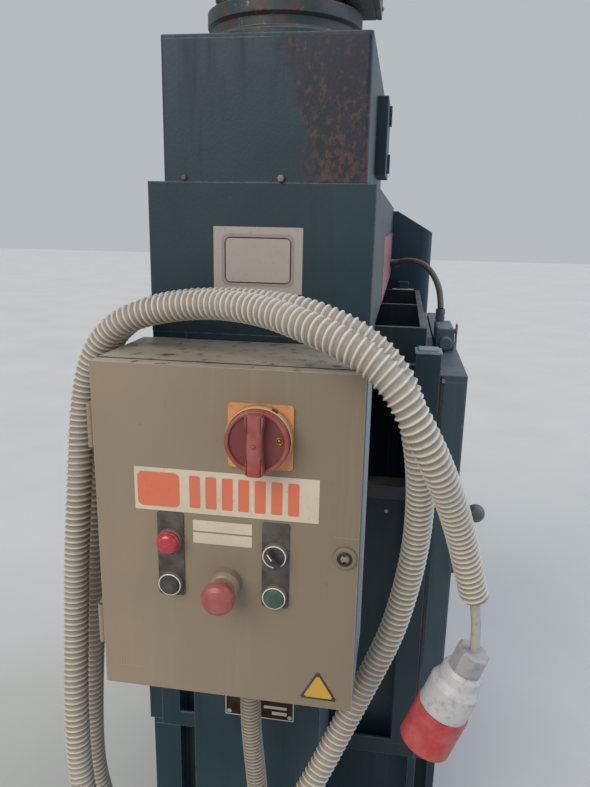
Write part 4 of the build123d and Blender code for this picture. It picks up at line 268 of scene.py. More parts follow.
class Finish:
    """A material being made: each tint is laid over the skin so far, and close() joins it to the shader."""

    def __init__(self, name, colour):
        self.material = bpy.data.materials.new(name)
        self.material.use_nodes = True
        self.tree = self.material.node_tree
        self.place = self.node("TexCoord", out="Object")
        self.plain = self.skin = as_colour(colour)

    def node(self, kind, inputs=(), out=0, **settings):
        """Adds one node and gives an output of it: settings are its properties, inputs values or sockets."""
        node = self.tree.nodes.new("ShaderNode" + kind)
        for name, value in settings.items():
            setattr(node, name, value)
        self.fill(node, inputs if isinstance(inputs, dict) else dict(enumerate(inputs)))
        return node.outputs[out]

    def fill(self, node, inputs):
        """Sets or links a node's inputs, given by name or index."""
        for key, value in inputs.items():
            if isinstance(value, bpy.types.NodeSocket):
                self.tree.links.new(value, node.inputs[key])
            else:
                node.inputs[key].default_value = value

    def mottle(self, scale, detail, roughness=0.5, stretch=None):
        """Uneven cells, scale of them to the metre, drawn out along the axes where stretch is given."""
        place = self.node("Mapping", {"Vector": self.place, "Scale": stretch}) if stretch else self.place
        cells = {"Vector": place, "Scale": scale, "Detail": detail, "Roughness": roughness}
        return self.node("TexNoise", cells, "Fac")

    def patches(self, scale, low, high, detail=4, roughness=0.55, stretch=None):
        """A soft mask from uneven cells: 0 below low, 1 above high."""
        return self.node("MapRange", (self.mottle(scale, detail, roughness, stretch), low, high))

    def span(self, axis, start, end, low=0, high=1):
        """low at start and high at end along one axis of the piece."""
        place = self.node("SeparateXYZ", [self.place], axis)
        return self.node("MapRange", (place, start, end, low, high))

    def facing(self, axis, start, end=1):
        """1 where the surface faces along the axis, 0 where it turns away from it."""
        normal = self.node("NewGeometry", out="Normal")
        return self.node("MapRange", (self.node("SeparateXYZ", [normal], axis), start, end))

    def around(self, axis, start, end):
        """0 at start and 1 at end, as distances from a line along Y through (x, z)."""
        flat = self.node("VectorMath", (self.place, (1, 0, 1)), operation="MULTIPLY")
        distance = self.node("VectorMath", (flat, (axis[0], 0, axis[1])), "Value", operation="DISTANCE")
        return self.node("MapRange", (distance, start, end))

    def edges(self, rounded, sharp=0.93):
        """1 where the rounded normal leaves the face's own normal, so along edges and corners."""
        own = self.node("NewGeometry", out="Normal")
        same = self.node("VectorMath", (rounded, own), "Value", operation="DOT_PRODUCT")
        return self.node("MapRange", (same, FLAT, sharp))

    def tint(self, colour, share, *masks):
        """Lays a colour over the skin where all the masks are, by no more than the share."""
        for mask in masks:
            share = self.node("Math", (mask, share), operation="MULTIPLY")
        layers = {FACTOR: share, COLOUR_A: self.skin, COLOUR_B: as_colour(colour)}
        self.skin = self.node("Mix", layers, MIXED, data_type="RGBA")

    def relief(self, scale, detail, strength, depth, stretch=None, **normal):
        """A bump from uneven cells, with a depth in millimetres."""
        cells = self.mottle(scale, detail, stretch=stretch)
        return self.node("Bump", {"Height": cells, "Strength": strength, "Distance": depth * MM, **normal})

    def close(self, roughness, **others):
        """Joins the skin and the other inputs to the shader, and hands the material over."""
        inputs = {"Base Color": self.skin, "Roughness": roughness, **others}
        self.fill(self.tree.nodes["Principled BSDF"], inputs)
        return self.material


def enamel(name, colour, roughness=0.42, rust=0.25, dust=0.45, extra=None):
    """Brushed alkyd enamel on mild steel: a soft sheen, rain streaks, chipped edges and rust."""
    look = Finish(name, colour)
    # Patches about 250 mm across where the sun has dulled the paint
    look.tint(towards(look.plain, "#5a7076", 0.08), 1, look.patches(4, 0.4, 0.68))
    # Rain streaks 15 mm wide and ten times as long
    streaks = look.patches(1, 0.52, 0.78, 5, stretch=(66, 66, 6))
    look.tint(darker(look.plain, 0.55), 0.35, streaks)
    rounded = look.node("Bevel", {"Radius": 2.2 * MM}, samples=4)
    # Chips 3 mm across, only along edges
    look.tint(PRIMER, 0.7, look.edges(rounded), look.patches(120, 0.46, 0.56, 6))
    # A pale line 2 mm wide along every edge: a painted highlight where the rounded edge catches light, with
    # some rubbed paint
    look.tint(RUBBED_EDGE_HIGHLIGHT, 0.4, look.edges(rounded, sharp=0.85))
    # Rust blooms 20 mm across, few of them
    look.tint(RUST, 0.85, look.patches(34, 0.69 - 0.12 * rust, 0.76 - 0.12 * rust, 7, 0.7))
    if extra:
        extra(look)
    # Dust on what faces up, in patches 45 mm across
    look.tint(DUST, dust, look.facing(Z, 0.6), look.patches(22, 0.3, 0.7, 5))
    # Brush marks 4 mm apart
    bump = look.relief(260, 3, 0.25, 0.5, Normal=rounded)
    gloss = look.node("MapRange", (streaks, 0, 1, roughness, roughness + 0.2))
    return look.close(gloss, Normal=bump, IOR=1.42)


def rust_over_painted_shade(look):
    """Rust that has run down the right of the tank's front from the motor flange, over painted shade on that
    side.
    """
    across = look.node("SeparateXYZ", [look.place])
    wander = look.node("Math", (look.mottle(34, 6, 0.65), 0.07, across), operation="MULTIPLY_ADD")
    # The left border of the run leans outwards from the tank's foot to its lid
    border = look.span(Z, 1.58, 1.70, 0.088, 0.056)
    past = look.node("Math", (wander, border), operation="SUBTRACT")
    run = (look.node("MapRange", (past, -0.006, 0.014)), look.span(Y, -0.655, -0.6595))
    # Flakes 6 mm across, scattered near the lid and close together near the foot
    flakes = look.mottle(130, 7, 0.75, stretch=(1, 1, 0.75))
    least = look.span(Z, 1.575, 1.69, 0.45, 0.56)
    most = look.node("Math", (least, 0.12), operation="ADD")
    # Painted shade: the right of the tank's front is darkened to a blue black
    look.tint("#1a1c27", 0.85, *run)
    look.tint("#4b3331", 1, *run, look.node("MapRange", (flakes, least, most)))


def lip_rust(look):
    """The dull reddish band along the lip under the viewing window."""
    band = (look.span(Z, 1.012, 1.018), look.span(Z, 1.045, 1.040))
    look.tint("#4a3236", 0.6, *band, look.patches(30, 0.3, 0.6, 5))


def flange_chips(look):
    """Rust in patches 20 mm across and yellow-brown flakes of paint 13 mm across, on the castings."""
    look.tint("#5b3a2c", 0.55, look.patches(48, 0.5, 0.6, 7, 0.7))
    look.tint("#9a8a63", 0.7, look.patches(75, 0.62, 0.68, 6, 0.7))


def powder_coat(name, colour):
    """Pebble powder coat on sheet steel: satin, fine orange peel, rain tracks and leaf stains on top."""
    look = Finish(name, colour)
    # Darker towards the lock side across the door's width: painted shade
    look.tint(darker(look.plain, 0.68), 0.9, look.span(X, -0.12, 0.15))
    # Darker patches about 110 mm across
    look.tint(darker(look.plain, 0.8), 0.4, look.patches(9, 0.38, 0.7))
    # Rain tracks 8 mm wide
    tracks = look.patches(1, 0.55, 0.8, stretch=(125, 125, 7))
    look.tint(towards(look.plain, "#b5ad98", 0.6), 0.12, tracks)
    # Smudges and small scratches, about 10 mm
    look.tint("#4b4437", 0.45, look.patches(75, 0.66, 0.74, 7, 0.65))
    # The top face is painted lighter, a painted highlight from the light above, and holds leaf litter stains
    # 12 mm across
    look.tint("#a59c8c", 0.7, look.facing(Z, 0.8))
    look.tint("#4a4034", 0.85, look.facing(Z, 0.8), look.patches(62, 0.56, 0.62, 6, 0.7))
    # The loading side is painted a pale blue grey: a painted reflection of the sky
    look.tint("#8796a0", 0.6, look.facing(X, 0.7, 0.98))
    # Pale edges 1 mm wide in patches: partly worn paint, partly a painted highlight where the rounded edge
    # catches light
    rounded = look.node("Bevel", {"Radius": 1.2 * MM}, samples=4)
    look.tint("#c4b79f", 0.6, look.edges(rounded), look.patches(45, 0.2, 0.5, 5))
    # Orange peel 1.5 mm across
    bump = look.relief(600, 2, 0.2, 0.2, Normal=rounded)
    gloss = look.node("MapRange", (tracks, 0, 1, 0.48, 0.68))
    return look.close(gloss, Normal=bump, IOR=1.5)


def metal(name, colour, roughness, tarnish, tarnish_share=0.5):
    """Bare or plated metal: fine tool marks in one direction and dull tarnished patches."""
    look = Finish(name, colour)
    # Tarnish in patches 25 mm across
    dull = look.patches(40, 0.42, 0.7, 6)
    look.tint(tarnish, tarnish_share, dull)
    gloss = look.node("MapRange", (dull, 0, 1, roughness, min(roughness + 0.35, 0.9)))
    rounded = look.node("Bevel", {"Radius": 0.6 * MM}, samples=4)
    # Tool marks 1 mm apart and 30 mm long
    bump = look.relief(1, 3, 0.15, 0.1, TOOL_MARKS, Normal=rounded)
    return look.close(gloss, Normal=bump, Metallic=1.0)


def moulded(name, colour, roughness=0.4, dirt=0.35, bevel=0.6, extra=None):
    """Injection-moulded plastic: colour faded in patches, fine spark-eroded texture and grime."""
    look = Finish(name, colour)
    # Faded in patches 17 mm across
    look.tint(towards(look.plain, "#c8c0b4", 0.12), 1, look.patches(60, 0.35, 0.7))
    # Grime in patches 8 mm across
    grime = look.patches(130, 0.52, 0.74, 6, 0.6)
    look.tint("#4f4a40", dirt, grime)
    if extra:
        extra(look)
    gloss = look.node("MapRange", (grime, 0, 1, roughness, min(roughness + 0.25, 0.9)))
    rounded = look.node("Bevel", {"Radius": bevel * MM}, samples=4)
    # Spark texture 0.4 mm across, drawn at 1 mm so that it shows
    bump = look.relief(1000, 2, 0.15, 0.1, Normal=rounded)
    return look.close(gloss, Normal=bump, IOR=1.53)


def stop_collar_tint(look):
    """The collar under the emergency stop is a sun-yellowed beige."""
    look.tint("#857460", 1, look.around(STOP_AXIS, 0.0195, 0.0185))


def dish_painted_shade(look):
    """The dish inside the main switch's rim is darker than the rim and the grip: painted shade in the
    recess.
    """
    on_face = look.span(Y, DOOR_FACE_Y - 22.9 * MM, DOOR_FACE_Y - 22.5 * MM)
    look.tint("#6b2f2b", 1, on_face, look.around(SWITCH_AXIS, 0.0300, 0.0292))


def lock_tint(look):
    """Round the dark barrel the lock's face is painted with the door, and its middle is bright."""
    look.tint("#756851", 1, look.around(LOCK_AXIS, 0.0084, 0.0088))
    look.tint("#8d8577", 1, look.around(LOCK_AXIS, 0.0043, 0.0040))


def ribbed_conduit(name, colour, valley_shade):
    """Flexible polyamide conduit: a pale painted highlight on its ridges and a painted shade in its valleys.
    """
    look = Finish(name, valley_shade)
    # The mesh stores how high each point lies, 0 in the valleys and 1 on the ridges
    height = look.node("Attribute", out="Fac", attribute_name="ridge")
    # Painted shade in the valleys and a painted highlight on the ridges, by that height
    look.tint(colour, 1, look.node("MapRange", (height, 0.15, 0.95)))
    # Dull stretches about 80 mm long
    look.tint(darker(colour, 0.62), 0.35, look.patches(12, 0.4, 0.7))
    # Specks of dirt 6 mm across
    look.tint(darker(valley_shade, 0.8), 0.4, look.patches(170, 0.55, 0.72, 5))
    # Chalky grain 1 mm across
    bump = look.relief(900, 2, 0.15, 0.2)
    return look.close(0.52, Normal=bump, IOR=1.53)


def vinyl(name, colour, dirt=0.3):
    """Printed vinyl film: smooth and flat, yellowed, with fine specks of dirt."""
    look = Finish(name, colour)
    # Yellowed in patches 33 mm across
    look.tint(towards(look.plain, "#8a7f68", 0.3), 0.5, look.patches(30, 0.4, 0.7))
    # Specks 5 mm across
    look.tint("#574f42", dirt, look.patches(190, 0.6, 0.72, 6))
    # Wrinkles 20 mm across
    bump = look.relief(45, 2, 0.12, 0.6)
    return look.close(0.45, Normal=bump, IOR=1.5)


def lens_plastic(name, colour):
    """Tinted polycarbonate lens over a dark lamp: deep colour, bright gloss and a scuffed crown."""
    look = Finish(name, colour)
    # Scuffs 4 mm across
    scuffs = look.patches(260, 0.5, 0.75, 5)
    look.tint(towards(look.plain, "#d8a09a", 0.5), 0.2, scuffs)
    gloss = look.node("MapRange", (scuffs, 0, 1, 0.18, 0.45))
    return look.close(gloss, IOR=1.58, **{"Coat Weight": 0.3})


# Meshes

def add_object(name, data):
    item = bpy.data.objects.new(name, data)
    bpy.context.scene.collection.objects.link(item)
    return item


def mesh_object(name, mesh, material, body):
    """Links a mesh as a piece that rides on a body."""
    piece = add_object(name, mesh)
    mesh.materials.append(material)
    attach(piece, body)
    return piece


def build(name, material, body, parts, bevel=0.0, smooth=False):
    """One piece from parts, each an add_ function and what it takes after the mesh. The bevel is in mm."""
    bm = bmesh.new()
    for add, *details in parts:
        add(bm, *details)
    bmesh.ops.recalc_face_normals(bm, faces=bm.faces)
    mesh = bpy.data.meshes.new(name)
    bm.to_mesh(mesh)
    bm.free()
    if smooth:
        mesh.shade_smooth()
    piece = mesh_object(name, mesh, material, body)
    if bevel:
        chamfer = piece.modifiers.new("soft edges", "BEVEL")
        chamfer.width = bevel * MM
        chamfer.segments = 2
        chamfer.limit_method = "ANGLE"
    return piece


def in_mm(*points):
    """Points given in millimetres."""
    return [tuple(value * MM for value in point) for point in points]


def on_front(x, y, z):
    return Matrix.Translation((x, y, z)) @ FACING_FRONT


def on_right(x, y, z):
    return Matrix.Translation((x, y, z)) @ FACING_RIGHT


def on_top(x, y, z):
    return Matrix.Translation((x, y, z))


def join_rings(bm, low, high):
    """A strip of faces between two closed rings of vertices; a single vertex is a pole."""
    for index in range(max(len(low), len(high))):
        after = index + 1
        corners = [low[index % len(low)], low[after % len(low)],
                   high[after % len(high)], high[index % len(high)]]
        bm.faces.new(list(dict.fromkeys(corners)))


def add_slab(bm, outline, low, high, place):
    """An outline in the local x-y plane, raised from low to high along local z."""
    bottom = [bm.verts.new(place @ Vector((x, y, low))) for x, y in outline]
    top = [bm.verts.new(place @ Vector((x, y, high))) for x, y in outline]
    bm.faces.new(list(reversed(bottom)))
    bm.faces.new(top)
    join_rings(bm, bottom, top)


def add_turned(bm, profile, place, steps=32):
    """A closed solid of revolution about local z from (radius, height) points; radius 0 makes a pole."""
    rings = []
    for radius, height in profile:
        angles = [2 * math.pi * index / steps for index in range(steps if radius else 1)]
        points = [(radius * math.cos(angle), radius * math.sin(angle), height) for angle in angles]
        rings.append([bm.verts.new(place @ Vector(point)) for point in points])
    for low, high in zip(rings, rings[1:]):
        join_rings(bm, low, high)


def rectangle(width, height, radius, steps=5):
    """The outline of a rectangle with rounded corners."""
    points = []
    for corner_x, corner_y, start in ((1, 1, 0), (-1, 1, 90), (-1, -1, 180), (1, -1, 270)):
        for step in range(steps + 1):
            angle = math.radians(start + 90 * step / steps)
            points.append((corner_x * (width / 2 - radius) + radius * math.cos(angle),
                           corner_y * (height / 2 - radius) + radius * math.sin(angle)))
    return points


def add_frame(bm, place, width, height, line, radius):
    """A closed printed line with rounded corners."""
    outer = rectangle(width, height, radius, 6)
    inner = rectangle(width - 2 * line, height - 2 * line, max(radius - line, 0.5 * MM), 6)
    levels = []
    for outline, level in ((outer, 0), (outer, PRINT_FILM), (inner, PRINT_FILM), (inner, 0)):
        levels.append([bm.verts.new(place @ Vector((x, y, level))) for x, y in outline])
    for low, high in zip(levels, levels[1:] + levels[:1]):
        join_rings(bm, low, high)


def hexagon(across_flats):
    radius = across_flats / math.sqrt(3)
    angles = [math.radians(60 * corner) for corner in range(6)]
    return [(radius * math.cos(angle), radius * math.sin(angle)) for angle in angles]


def add_bolt(bm, place, across_flats, washer=True):
    """Hexagon head with a chamfered crown on a washer."""
    seat = 0.0
    if washer:
        outer = across_flats * 0.92
        seat = across_flats * 0.13
        add_turned(bm, [(0, 0), (outer, 0), (outer, seat * 0.7), (outer * 0.95, seat), (0, seat)], place, 28)
    height = across_flats * 0.6
    shoulder = seat + height * 0.86
    add_slab(bm, hexagon(across_flats), seat, shoulder, place)
    add_slab(bm, hexagon(across_flats * 0.86), shoulder, seat + height, place)


def add_screw(bm, place, radius, slot=True):
    """Domed screw head with a raised bar across it where its slot is."""
    shares = ((0, 0), (1, 0), (1, 0.25), (0.82, 0.55), (0.45, 0.72), (0, 0.76))
    add_turned(bm, [(radius * out, radius * up) for out, up in shares], place, 20)
    if slot:
        bar = rectangle(radius * 1.7, radius * 0.28, radius * 0.05, 2)
        add_slab(bm, bar, radius * 0.5, radius * 0.78, place)


# Cords

def route_spline(name, route, bevel=0.0):
    """The route as one smooth NURBS spline."""
    curve = bpy.data.curves.new(name, "CURVE")
    curve.dimensions = "3D"
    curve.resolution_u = 12
    curve.bevel_depth = bevel
    curve.bevel_resolution = 6
    curve.use_fill_caps = bevel > 0
    spline = curve.splines.new("NURBS")
    spline.points.add(len(route) - 1)
    for control, point in zip(spline.points, route):
        control.co = (*(Vector(point) * MM), 1.0)
    spline.order_u = 3
    spline.use_endpoint_u = True
    return add_object(name, curve)


def spline_points(route):
    """Points along the smooth line of a route, read back from the spline itself."""
    guide = route_spline("guide", route)
    bpy.context.view_layer.update()
    mesh = bpy.data.meshes.new_from_object(guide)
    points = [vertex.co.copy() for vertex in mesh.vertices]
    curve = guide.data
    bpy.data.objects.remove(guide)
    bpy.data.curves.remove(curve)
    bpy.data.meshes.remove(mesh)
    return points


def evenly_spaced(points, spacing):
    """Points a fixed distance apart along a line, with the direction of the line at each."""
    lengths = [0.0]
    for before, after in zip(points, points[1:]):
        lengths.append(lengths[-1] + (after - before).length)
    count = max(2, round(lengths[-1] / spacing))
    stations = []
    segment = 0
    for index in range(count + 1):
        along = lengths[-1] * index / count
        while segment < len(points) - 2 and lengths[segment + 1] < along:
            segment += 1
        run = points[segment + 1] - points[segment]
        share = (along - lengths[segment]) / run.length
        stations.append((along, points[segment] + run * share, run.normalized()))
    return stations, lengths[-1]


def ribbed_tube(name, route, radius, pitch, depth, material, sides=18, steps=8):
    """A corrugated tube along a route, with narrow ridges and wide valleys, closed at both ends."""
    line = spline_points(route)
    stations, length = evenly_spaced(line, pitch / steps)
    direction = stations[0][2]
    across = direction.orthogonal().normalized()
    vertices = []
    ridge = []
    # One ridge winds round the tube like a thread
    for along, centre, tangent in stations:
        turn = direction.rotation_difference(tangent)
        across = (turn @ across).normalized()
        across = (across - tangent * across.dot(tangent)).normalized()
        direction = tangent
        other = tangent.cross(across)
        for side in range(sides):
            angle = 2 * math.pi * side / sides
            height = (0.5 + 0.5 * math.cos(2 * math.pi * along / pitch - angle)) ** RIDGE_SHARPNESS
            ring_radius = radius - depth * (1 - height)
            vertices.append(centre + (across * math.cos(angle) + other * math.sin(angle)) * ring_radius)
            ridge.append(height)
    last = len(vertices) - sides
    faces = []
    for start in range(0, last, sides):
        for side in range(sides):
            after = (side + 1) % sides
            faces.append((start + side, start + after, start + sides + after, start + sides + side))
    faces.append(tuple(reversed(range(sides))))
    faces.append(tuple(range(last, last + sides)))
    mesh = bpy.data.meshes.new(name)
    mesh.from_pydata(vertices, [], faces)
    layer = mesh.attributes.new("ridge", "FLOAT", "POINT")
    layer.data.foreach_set("value", ridge)
    mesh.update()
    mesh.shade_smooth()
    return mesh_object(name, mesh, material, "machine"), line, length


# Operators

def make_floor():
    mesh = bpy.data.meshes.new("floor")
    corners = [(x * FLOOR_HALF, y * FLOOR_HALF, 0) for x, y in ((-1, -1), (1, -1), (1, 1), (-1, 1))]
    mesh.from_pydata(corners, [], [(0, 1, 2, 3)])
    floor = add_object("floor", mesh)
    look = Finish("Sealed concrete, pale", "#b1b1ae")
    # Cloudy patches 700 mm across
    look.tint("#b8b8b5", 1, look.patches(1.4, 0.3, 0.75))
    mesh.materials.append(look.close(0.75))


def make_world(scene):
    world = bpy.data.worlds.new("pale surroundings")
    world.use_nodes = True
    background = world.node_tree.nodes["Background"]
    background.inputs["Strength"].default_value = WORLD_STRENGTH
    background.inputs["Color"].default_value = hex_colour(WORLD_COLOUR)
    scene.world = world


def make_sun(name, towards_it, strength, spread, colour):
    """A soft lamp as wide as spread degrees, shining from one direction."""
    light = bpy.data.lights.new(name, "SUN")
    light.energy = strength
    light.color = hex_colour(colour)[:3]
    light.angle = math.radians(spread)
    add_object(name, light).rotation_euler = Vector(towards_it).to_track_quat("Z", "Y").to_euler()


def make_camera(scene):
    data = bpy.data.cameras.new("camera")
    data.sensor_width = SENSOR
    data.sensor_fit = "AUTO"
    data.lens = SENSOR * FOCAL_PIXELS / PHOTO_HEIGHT
    data.clip_start = 0.05
    yaw, pitch, roll = CAMERA_YAW_LEFT, CAMERA_PITCH_DOWN, CAMERA_ROLL
    level = math.cos(pitch)
    forward = Vector((-math.sin(yaw) * level, math.cos(yaw) * level, -math.sin(pitch)))
    right = Vector((math.cos(yaw), math.sin(yaw), 0))
    up = right.cross(forward)
    rolled_right = right * math.cos(roll) + up * math.sin(roll)
    rolled_up = up * math.cos(roll) - right * math.sin(roll)
    rotation = Matrix((rolled_right, rolled_up, -forward)).transposed()
    camera = add_object("camera", data)
    camera.matrix_world = Matrix.Translation(CAMERA_PLACE) @ rotation.to_4x4()
    scene.camera = camera


class PRESS_OT_stage(bpy.types.Operator):
    """Puts the press on a pale floor under soft light and sets the camera at the photograph's angle"""
    bl_idname = "press.stage"
    bl_label = "Stage and camera"

    def execute(self, context):
        scene = context.scene
        scene.view_settings.view_transform = "Standard"
        make_floor()
        make_world(scene)
        for sun in SUNS:
            make_sun(*sun)
        make_camera(scene)
        return {"FINISHED"}


def dress(material, *names):
    """Gives CAD nodes one material in place of the frame's own."""
    for name in names:
        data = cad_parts[name].data
        data.materials.clear()
        data.materials.append(material)


def add_fasteners(steel):
    """Bolts on the chamber's front, the hinges and the cylinder's flange."""
    width = sizes().bolt_width
    cover_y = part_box("right_side_frame")[0][1]
    low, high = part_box("door_hinges_fixed")
    near, far = LEAF_BOLT_HEIGHTS
    heights = (low[2] + near, low[2] + far, high[2] - far, high[2] - near)

    def leaf_bolts(edge_y):
        """Pairs of bolts at the ends of both hinges, on the leaf that ends at edge_y."""
        return [(add_bolt, on_right(LOADING_FACE_X + HINGE_LEAF, y, z), width * 0.62, False)
                for z in heights for y in (edge_y - inset for inset in LEAF_BOLT_INSETS)]

    places = [on_front(CORNER_BOLT[0], cover_y, CORNER_BOLT[1])]
    places += [on_front(x, FRONT_WALL_Y, z) for x, z in WALL_BOLTS]
    parts = [(add_bolt, place, width * 0.55, False) for place in places]
    parts += leaf_bolts(high[1])
    parts += [(add_bolt, on_top(x, CYLINDER_Y + y, BEAM_HIGH[2] + CYLINDER_FLANGE), width * 1.4)
              for x in FLANGE_BOLTS for y in FLANGE_BOLTS]
    build("structure_bolts", steel, "machine", parts, bevel=0.3)
    build("door_hinge_bolts", steel, "loading_door", leaf_bolts(DOOR_LEAF_EDGE_Y), bevel=0.3)


def add_post_cap():
    """Thin two-step plate that closes the top of the corner post; its pale blue grey is a painted highlight
    from the light above.
    """
    low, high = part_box("corner_post")
    middle = on_top((low[0] + high[0]) / 2, (low[1] + high[1]) / 2, high[2])
    wide, deep = high[0] - low[0], high[1] - low[1]
    parts = []
    for more, foot, top in ((3 * MM, 0, 4 * MM), (-8 * MM, 4 * MM, 7 * MM)):
        parts.append((add_slab, rectangle(wide + more, deep + more, 2 * MM, 3), foot, top, middle))
    cap = enamel("Alkyd enamel, cap painted with highlight", "#7f929d", roughness=0.5)
    build("corner_post_cap", cap, "machine", parts, bevel=0.5)


def add_beam_soles(paint):
    """Two sole strips beside the column that fill the slot between the enclosure's top and the beam."""
    column_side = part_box("front_column")[1][0]
    outline = rectangle(BEAM_HIGH[0] - column_side, COLUMN_BACK_Y - COLUMN_FRONT_Y, 1 * MM, 2)
    middle = (column_side + BEAM_HIGH[0]) / 2
    parts = [(add_slab, outline, -(BEAM_LOW[2] - BODY_TOP_Z), 0,
              on_top(side * middle, (COLUMN_FRONT_Y + COLUMN_BACK_Y) / 2, BEAM_LOW[2]))
             for side in (-1, 1)]
    build("beam_soles", paint, "machine", parts, bevel=0.5)


class PRESS_OT_structure(bpy.types.Operator):
    """Paints the base, columns, beam, chamber, doors and press"""
    bl_idname = "press.structure"
    bl_label = "Structure finishes"

    def execute(self, context):
        paint = colours()
        green = enamel("Alkyd enamel on steel, brushed dark green", paint.machine)
        dress(green, "base_frame", "front_legs", "front_column", "head_beam", "chamber_floor",
              "left_side_wall", "corner_post", "loading_door", "tank_side_cover", "tank_lid")
        # The right side frame gets a lighter, bluer copy of the machine enamel with less dust: painted light
        # where the side catches the sky
        weathered = towards(paint.machine, "#62757f", 0.3)
        dress(enamel("Alkyd enamel on steel, lighter sky-lit side", weathered, dust=0.15), "right_side_frame")
        dress(enamel("Alkyd enamel on steel, rust over painted shade", paint.machine, extra=rust_over_painted_shade), "oil_tank")
        dress(enamel("Alkyd enamel on steel, bare lip", paint.machine, extra=lip_rust), "front_wall")
        dress(enamel("Alkyd enamel on steel, blue black", paint.column, rust=0.15), "rear_column")
        worn_press = enamel("Alkyd enamel on steel, worn press", paint.machine, roughness=0.5, rust=0.6,
                            dust=0.6)
        dress(worn_press, "press_plate")
        worn_steel = metal("Mild steel, turned and handled", "#8b8885", 0.34, "#4e4239")
        dress(worn_steel, "door_hinges_fixed", "latch_lever", "rod_gland", "switch_actuator",
              "switch_plunger", "pressure_pipes")
        dress(metal("Hard chrome, ground", "#c9cbce", 0.09, "#a5a29b", tarnish_share=0.2), "piston_rod")
        dress(enamel("Alkyd enamel on seamless tube", paint.machine, roughness=0.36), "cylinder_barrel")
        dress(moulded("Nylon 6, sawn and greasy", "#c9bfa6", 0.5, dirt=0.6), "guide_shoes")
        dress(moulded("Phenolic ball, weathered matt", "#3d4a4c", 0.5, dirt=0.25), "ball_knob")
        add_fasteners(worn_steel)
        add_post_cap()
        add_beam_soles(green)
        return {"FINISHED"}


class PRESS_OT_power_unit(bpy.types.Operator):
    """Finishes the tank fittings, motor, pump and valves and adds their screws"""
    bl_idname = "press.power_unit"
    bl_label = "Power unit"

    def execute(self, context):
        iron = towards(colours().machine, "#3b4a4c", 0.4)
        cast = enamel("Machinery enamel on grey iron", iron, roughness=0.5, rust=1.1, extra=flange_chips)
        dress(cast, "motor_adaptor", "motor_body", "fan_cowl", "pump", "valve_block")
        dress(metal("Zinc plate, dull", "#a7a7a2", 0.38, "#77736b"), "motor_rotor", "mounting_plate")
        dress(moulded("ABS, dark grey", "#33373a", 0.45), "terminal_box", "filler_cap")
        steel = metal("Zinc plated screws, rusting", "#8d8378", 0.45, "#5a3527", tarnish_share=0.8)
        width = sizes().bolt_width
        lid_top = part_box("tank_lid")[1][2]
        box_low, box_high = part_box("terminal_box")
        parts = [(add_bolt, on_front(x, TANK_LOW[1], BEAM_HIGH[2] + 0.0045), width * share, False)
                 for x, share in TANK_FOOT_BOLTS]
        parts += [(add_bolt, on_top(x, y, lid_top), width * 0.6)
                  for x in (TANK_LOW[0] + COVER_INSET, TANK_HIGH[0] - COVER_INSET)
                  for y in ((TANK_LOW[1] + TANK_HIGH[1]) / 2, TANK_HIGH[1] - COVER_INSET)]
        parts += [(add_screw, on_right(box_high[0], y, z), 3.5 * MM)
                  for y in (box_low[1] + COVER_INSET, box_high[1] - COVER_INSET)
                  for z in (box_low[2] + COVER_INSET, box_high[2] - COVER_INSET)]
        build("power_unit_screws", steel, "machine", parts, bevel=0.2)
        return {"FINISHED"}


def add_gasket():
    """The door's rubber seal, and the dark joint that shows between the door and the box."""
    rubber = moulded("EPDM sponge gasket", "#16130f", 0.85, dirt=0.4)
    seal = (add_band, 5.0 * MM, 7 * MM, DOOR_BACK_Y - 3 * MM, DOOR_BACK_Y + 0.2 * MM)
    build("door_gasket", rubber, "enclosure_door", [seal])
    joint = (add_band, -0.4 * MM, 1.6 * MM, BOX_FRONT_Y + 0.2 * MM, BOX_FRONT_Y + 3.8 * MM)
    build("body_joint", rubber, "machine", [joint])


def add_band(bm, inset, width, front_y, back_y):
    """A closed rectangular band that lies inset from the sides of the enclosure's box."""
    left, right, bottom, top = BOX_SIDES
    rings = []
    for step, y in ((inset, front_y), (inset, back_y), (inset + width, back_y), (inset + width, front_y)):
        rings.append([bm.verts.new((x, y, z)) for x, z in (
            (left + step, bottom + step), (right - step, bottom + step),
            (right - step, top - step), (left + step, top - step))])
    for first, second in zip(rings, rings[1:] + rings[:1]):
        join_rings(bm, first, second)


def add_plates():
    """The wide decal with plain shapes, two blank strips and the blank triangle."""
    thick = sizes().decal_thickness
    white = vinyl("Vinyl film, aged white", "#c6b9a4")
    ink = vinyl("Vinyl print, orange red", colours().decal, dirt=0.2)
    yellow = vinyl("Vinyl film, yellow", "#bd9127")
    black = vinyl("Vinyl print, black", "#24211c")
    x, z = DECAL_MIDDLE
    parts = [(add_slab, rectangle(*DECAL_SIZE, 0.6 * MM, 2), 0, thick, on_front(x, DOOR_FACE_Y, z))]
    for strip_z in STRIP_HEIGHTS:
        parts.append((add_slab, rectangle(*STRIP_SIZE, 0.5 * MM, 2), 0, thick,
                      on_front(STRIP_X, DOOR_FACE_Y, strip_z)))
    build("door_strips", white, "enclosure_door", parts)
    place = on_front(x, DOOR_FACE_Y - thick, z)
    parts = []
    for middle, width, height in DECAL_SHAPES:
        outline = rectangle(width, height, min(width, height) * 0.16)
        parts.append((add_slab, [(middle + px, py) for px, py in outline], 0, PRINT_FILM, place))
    build("decal_shapes", ink, "enclosure_door", parts)
    build("triangle_border", black, "enclosure_door", [(add_triangle, 0.0, 0.0, thick)])
    build("triangle_field", yellow, "enclosure_door", [(add_triangle, 2.6 * MM, thick, PRINT_FILM)])


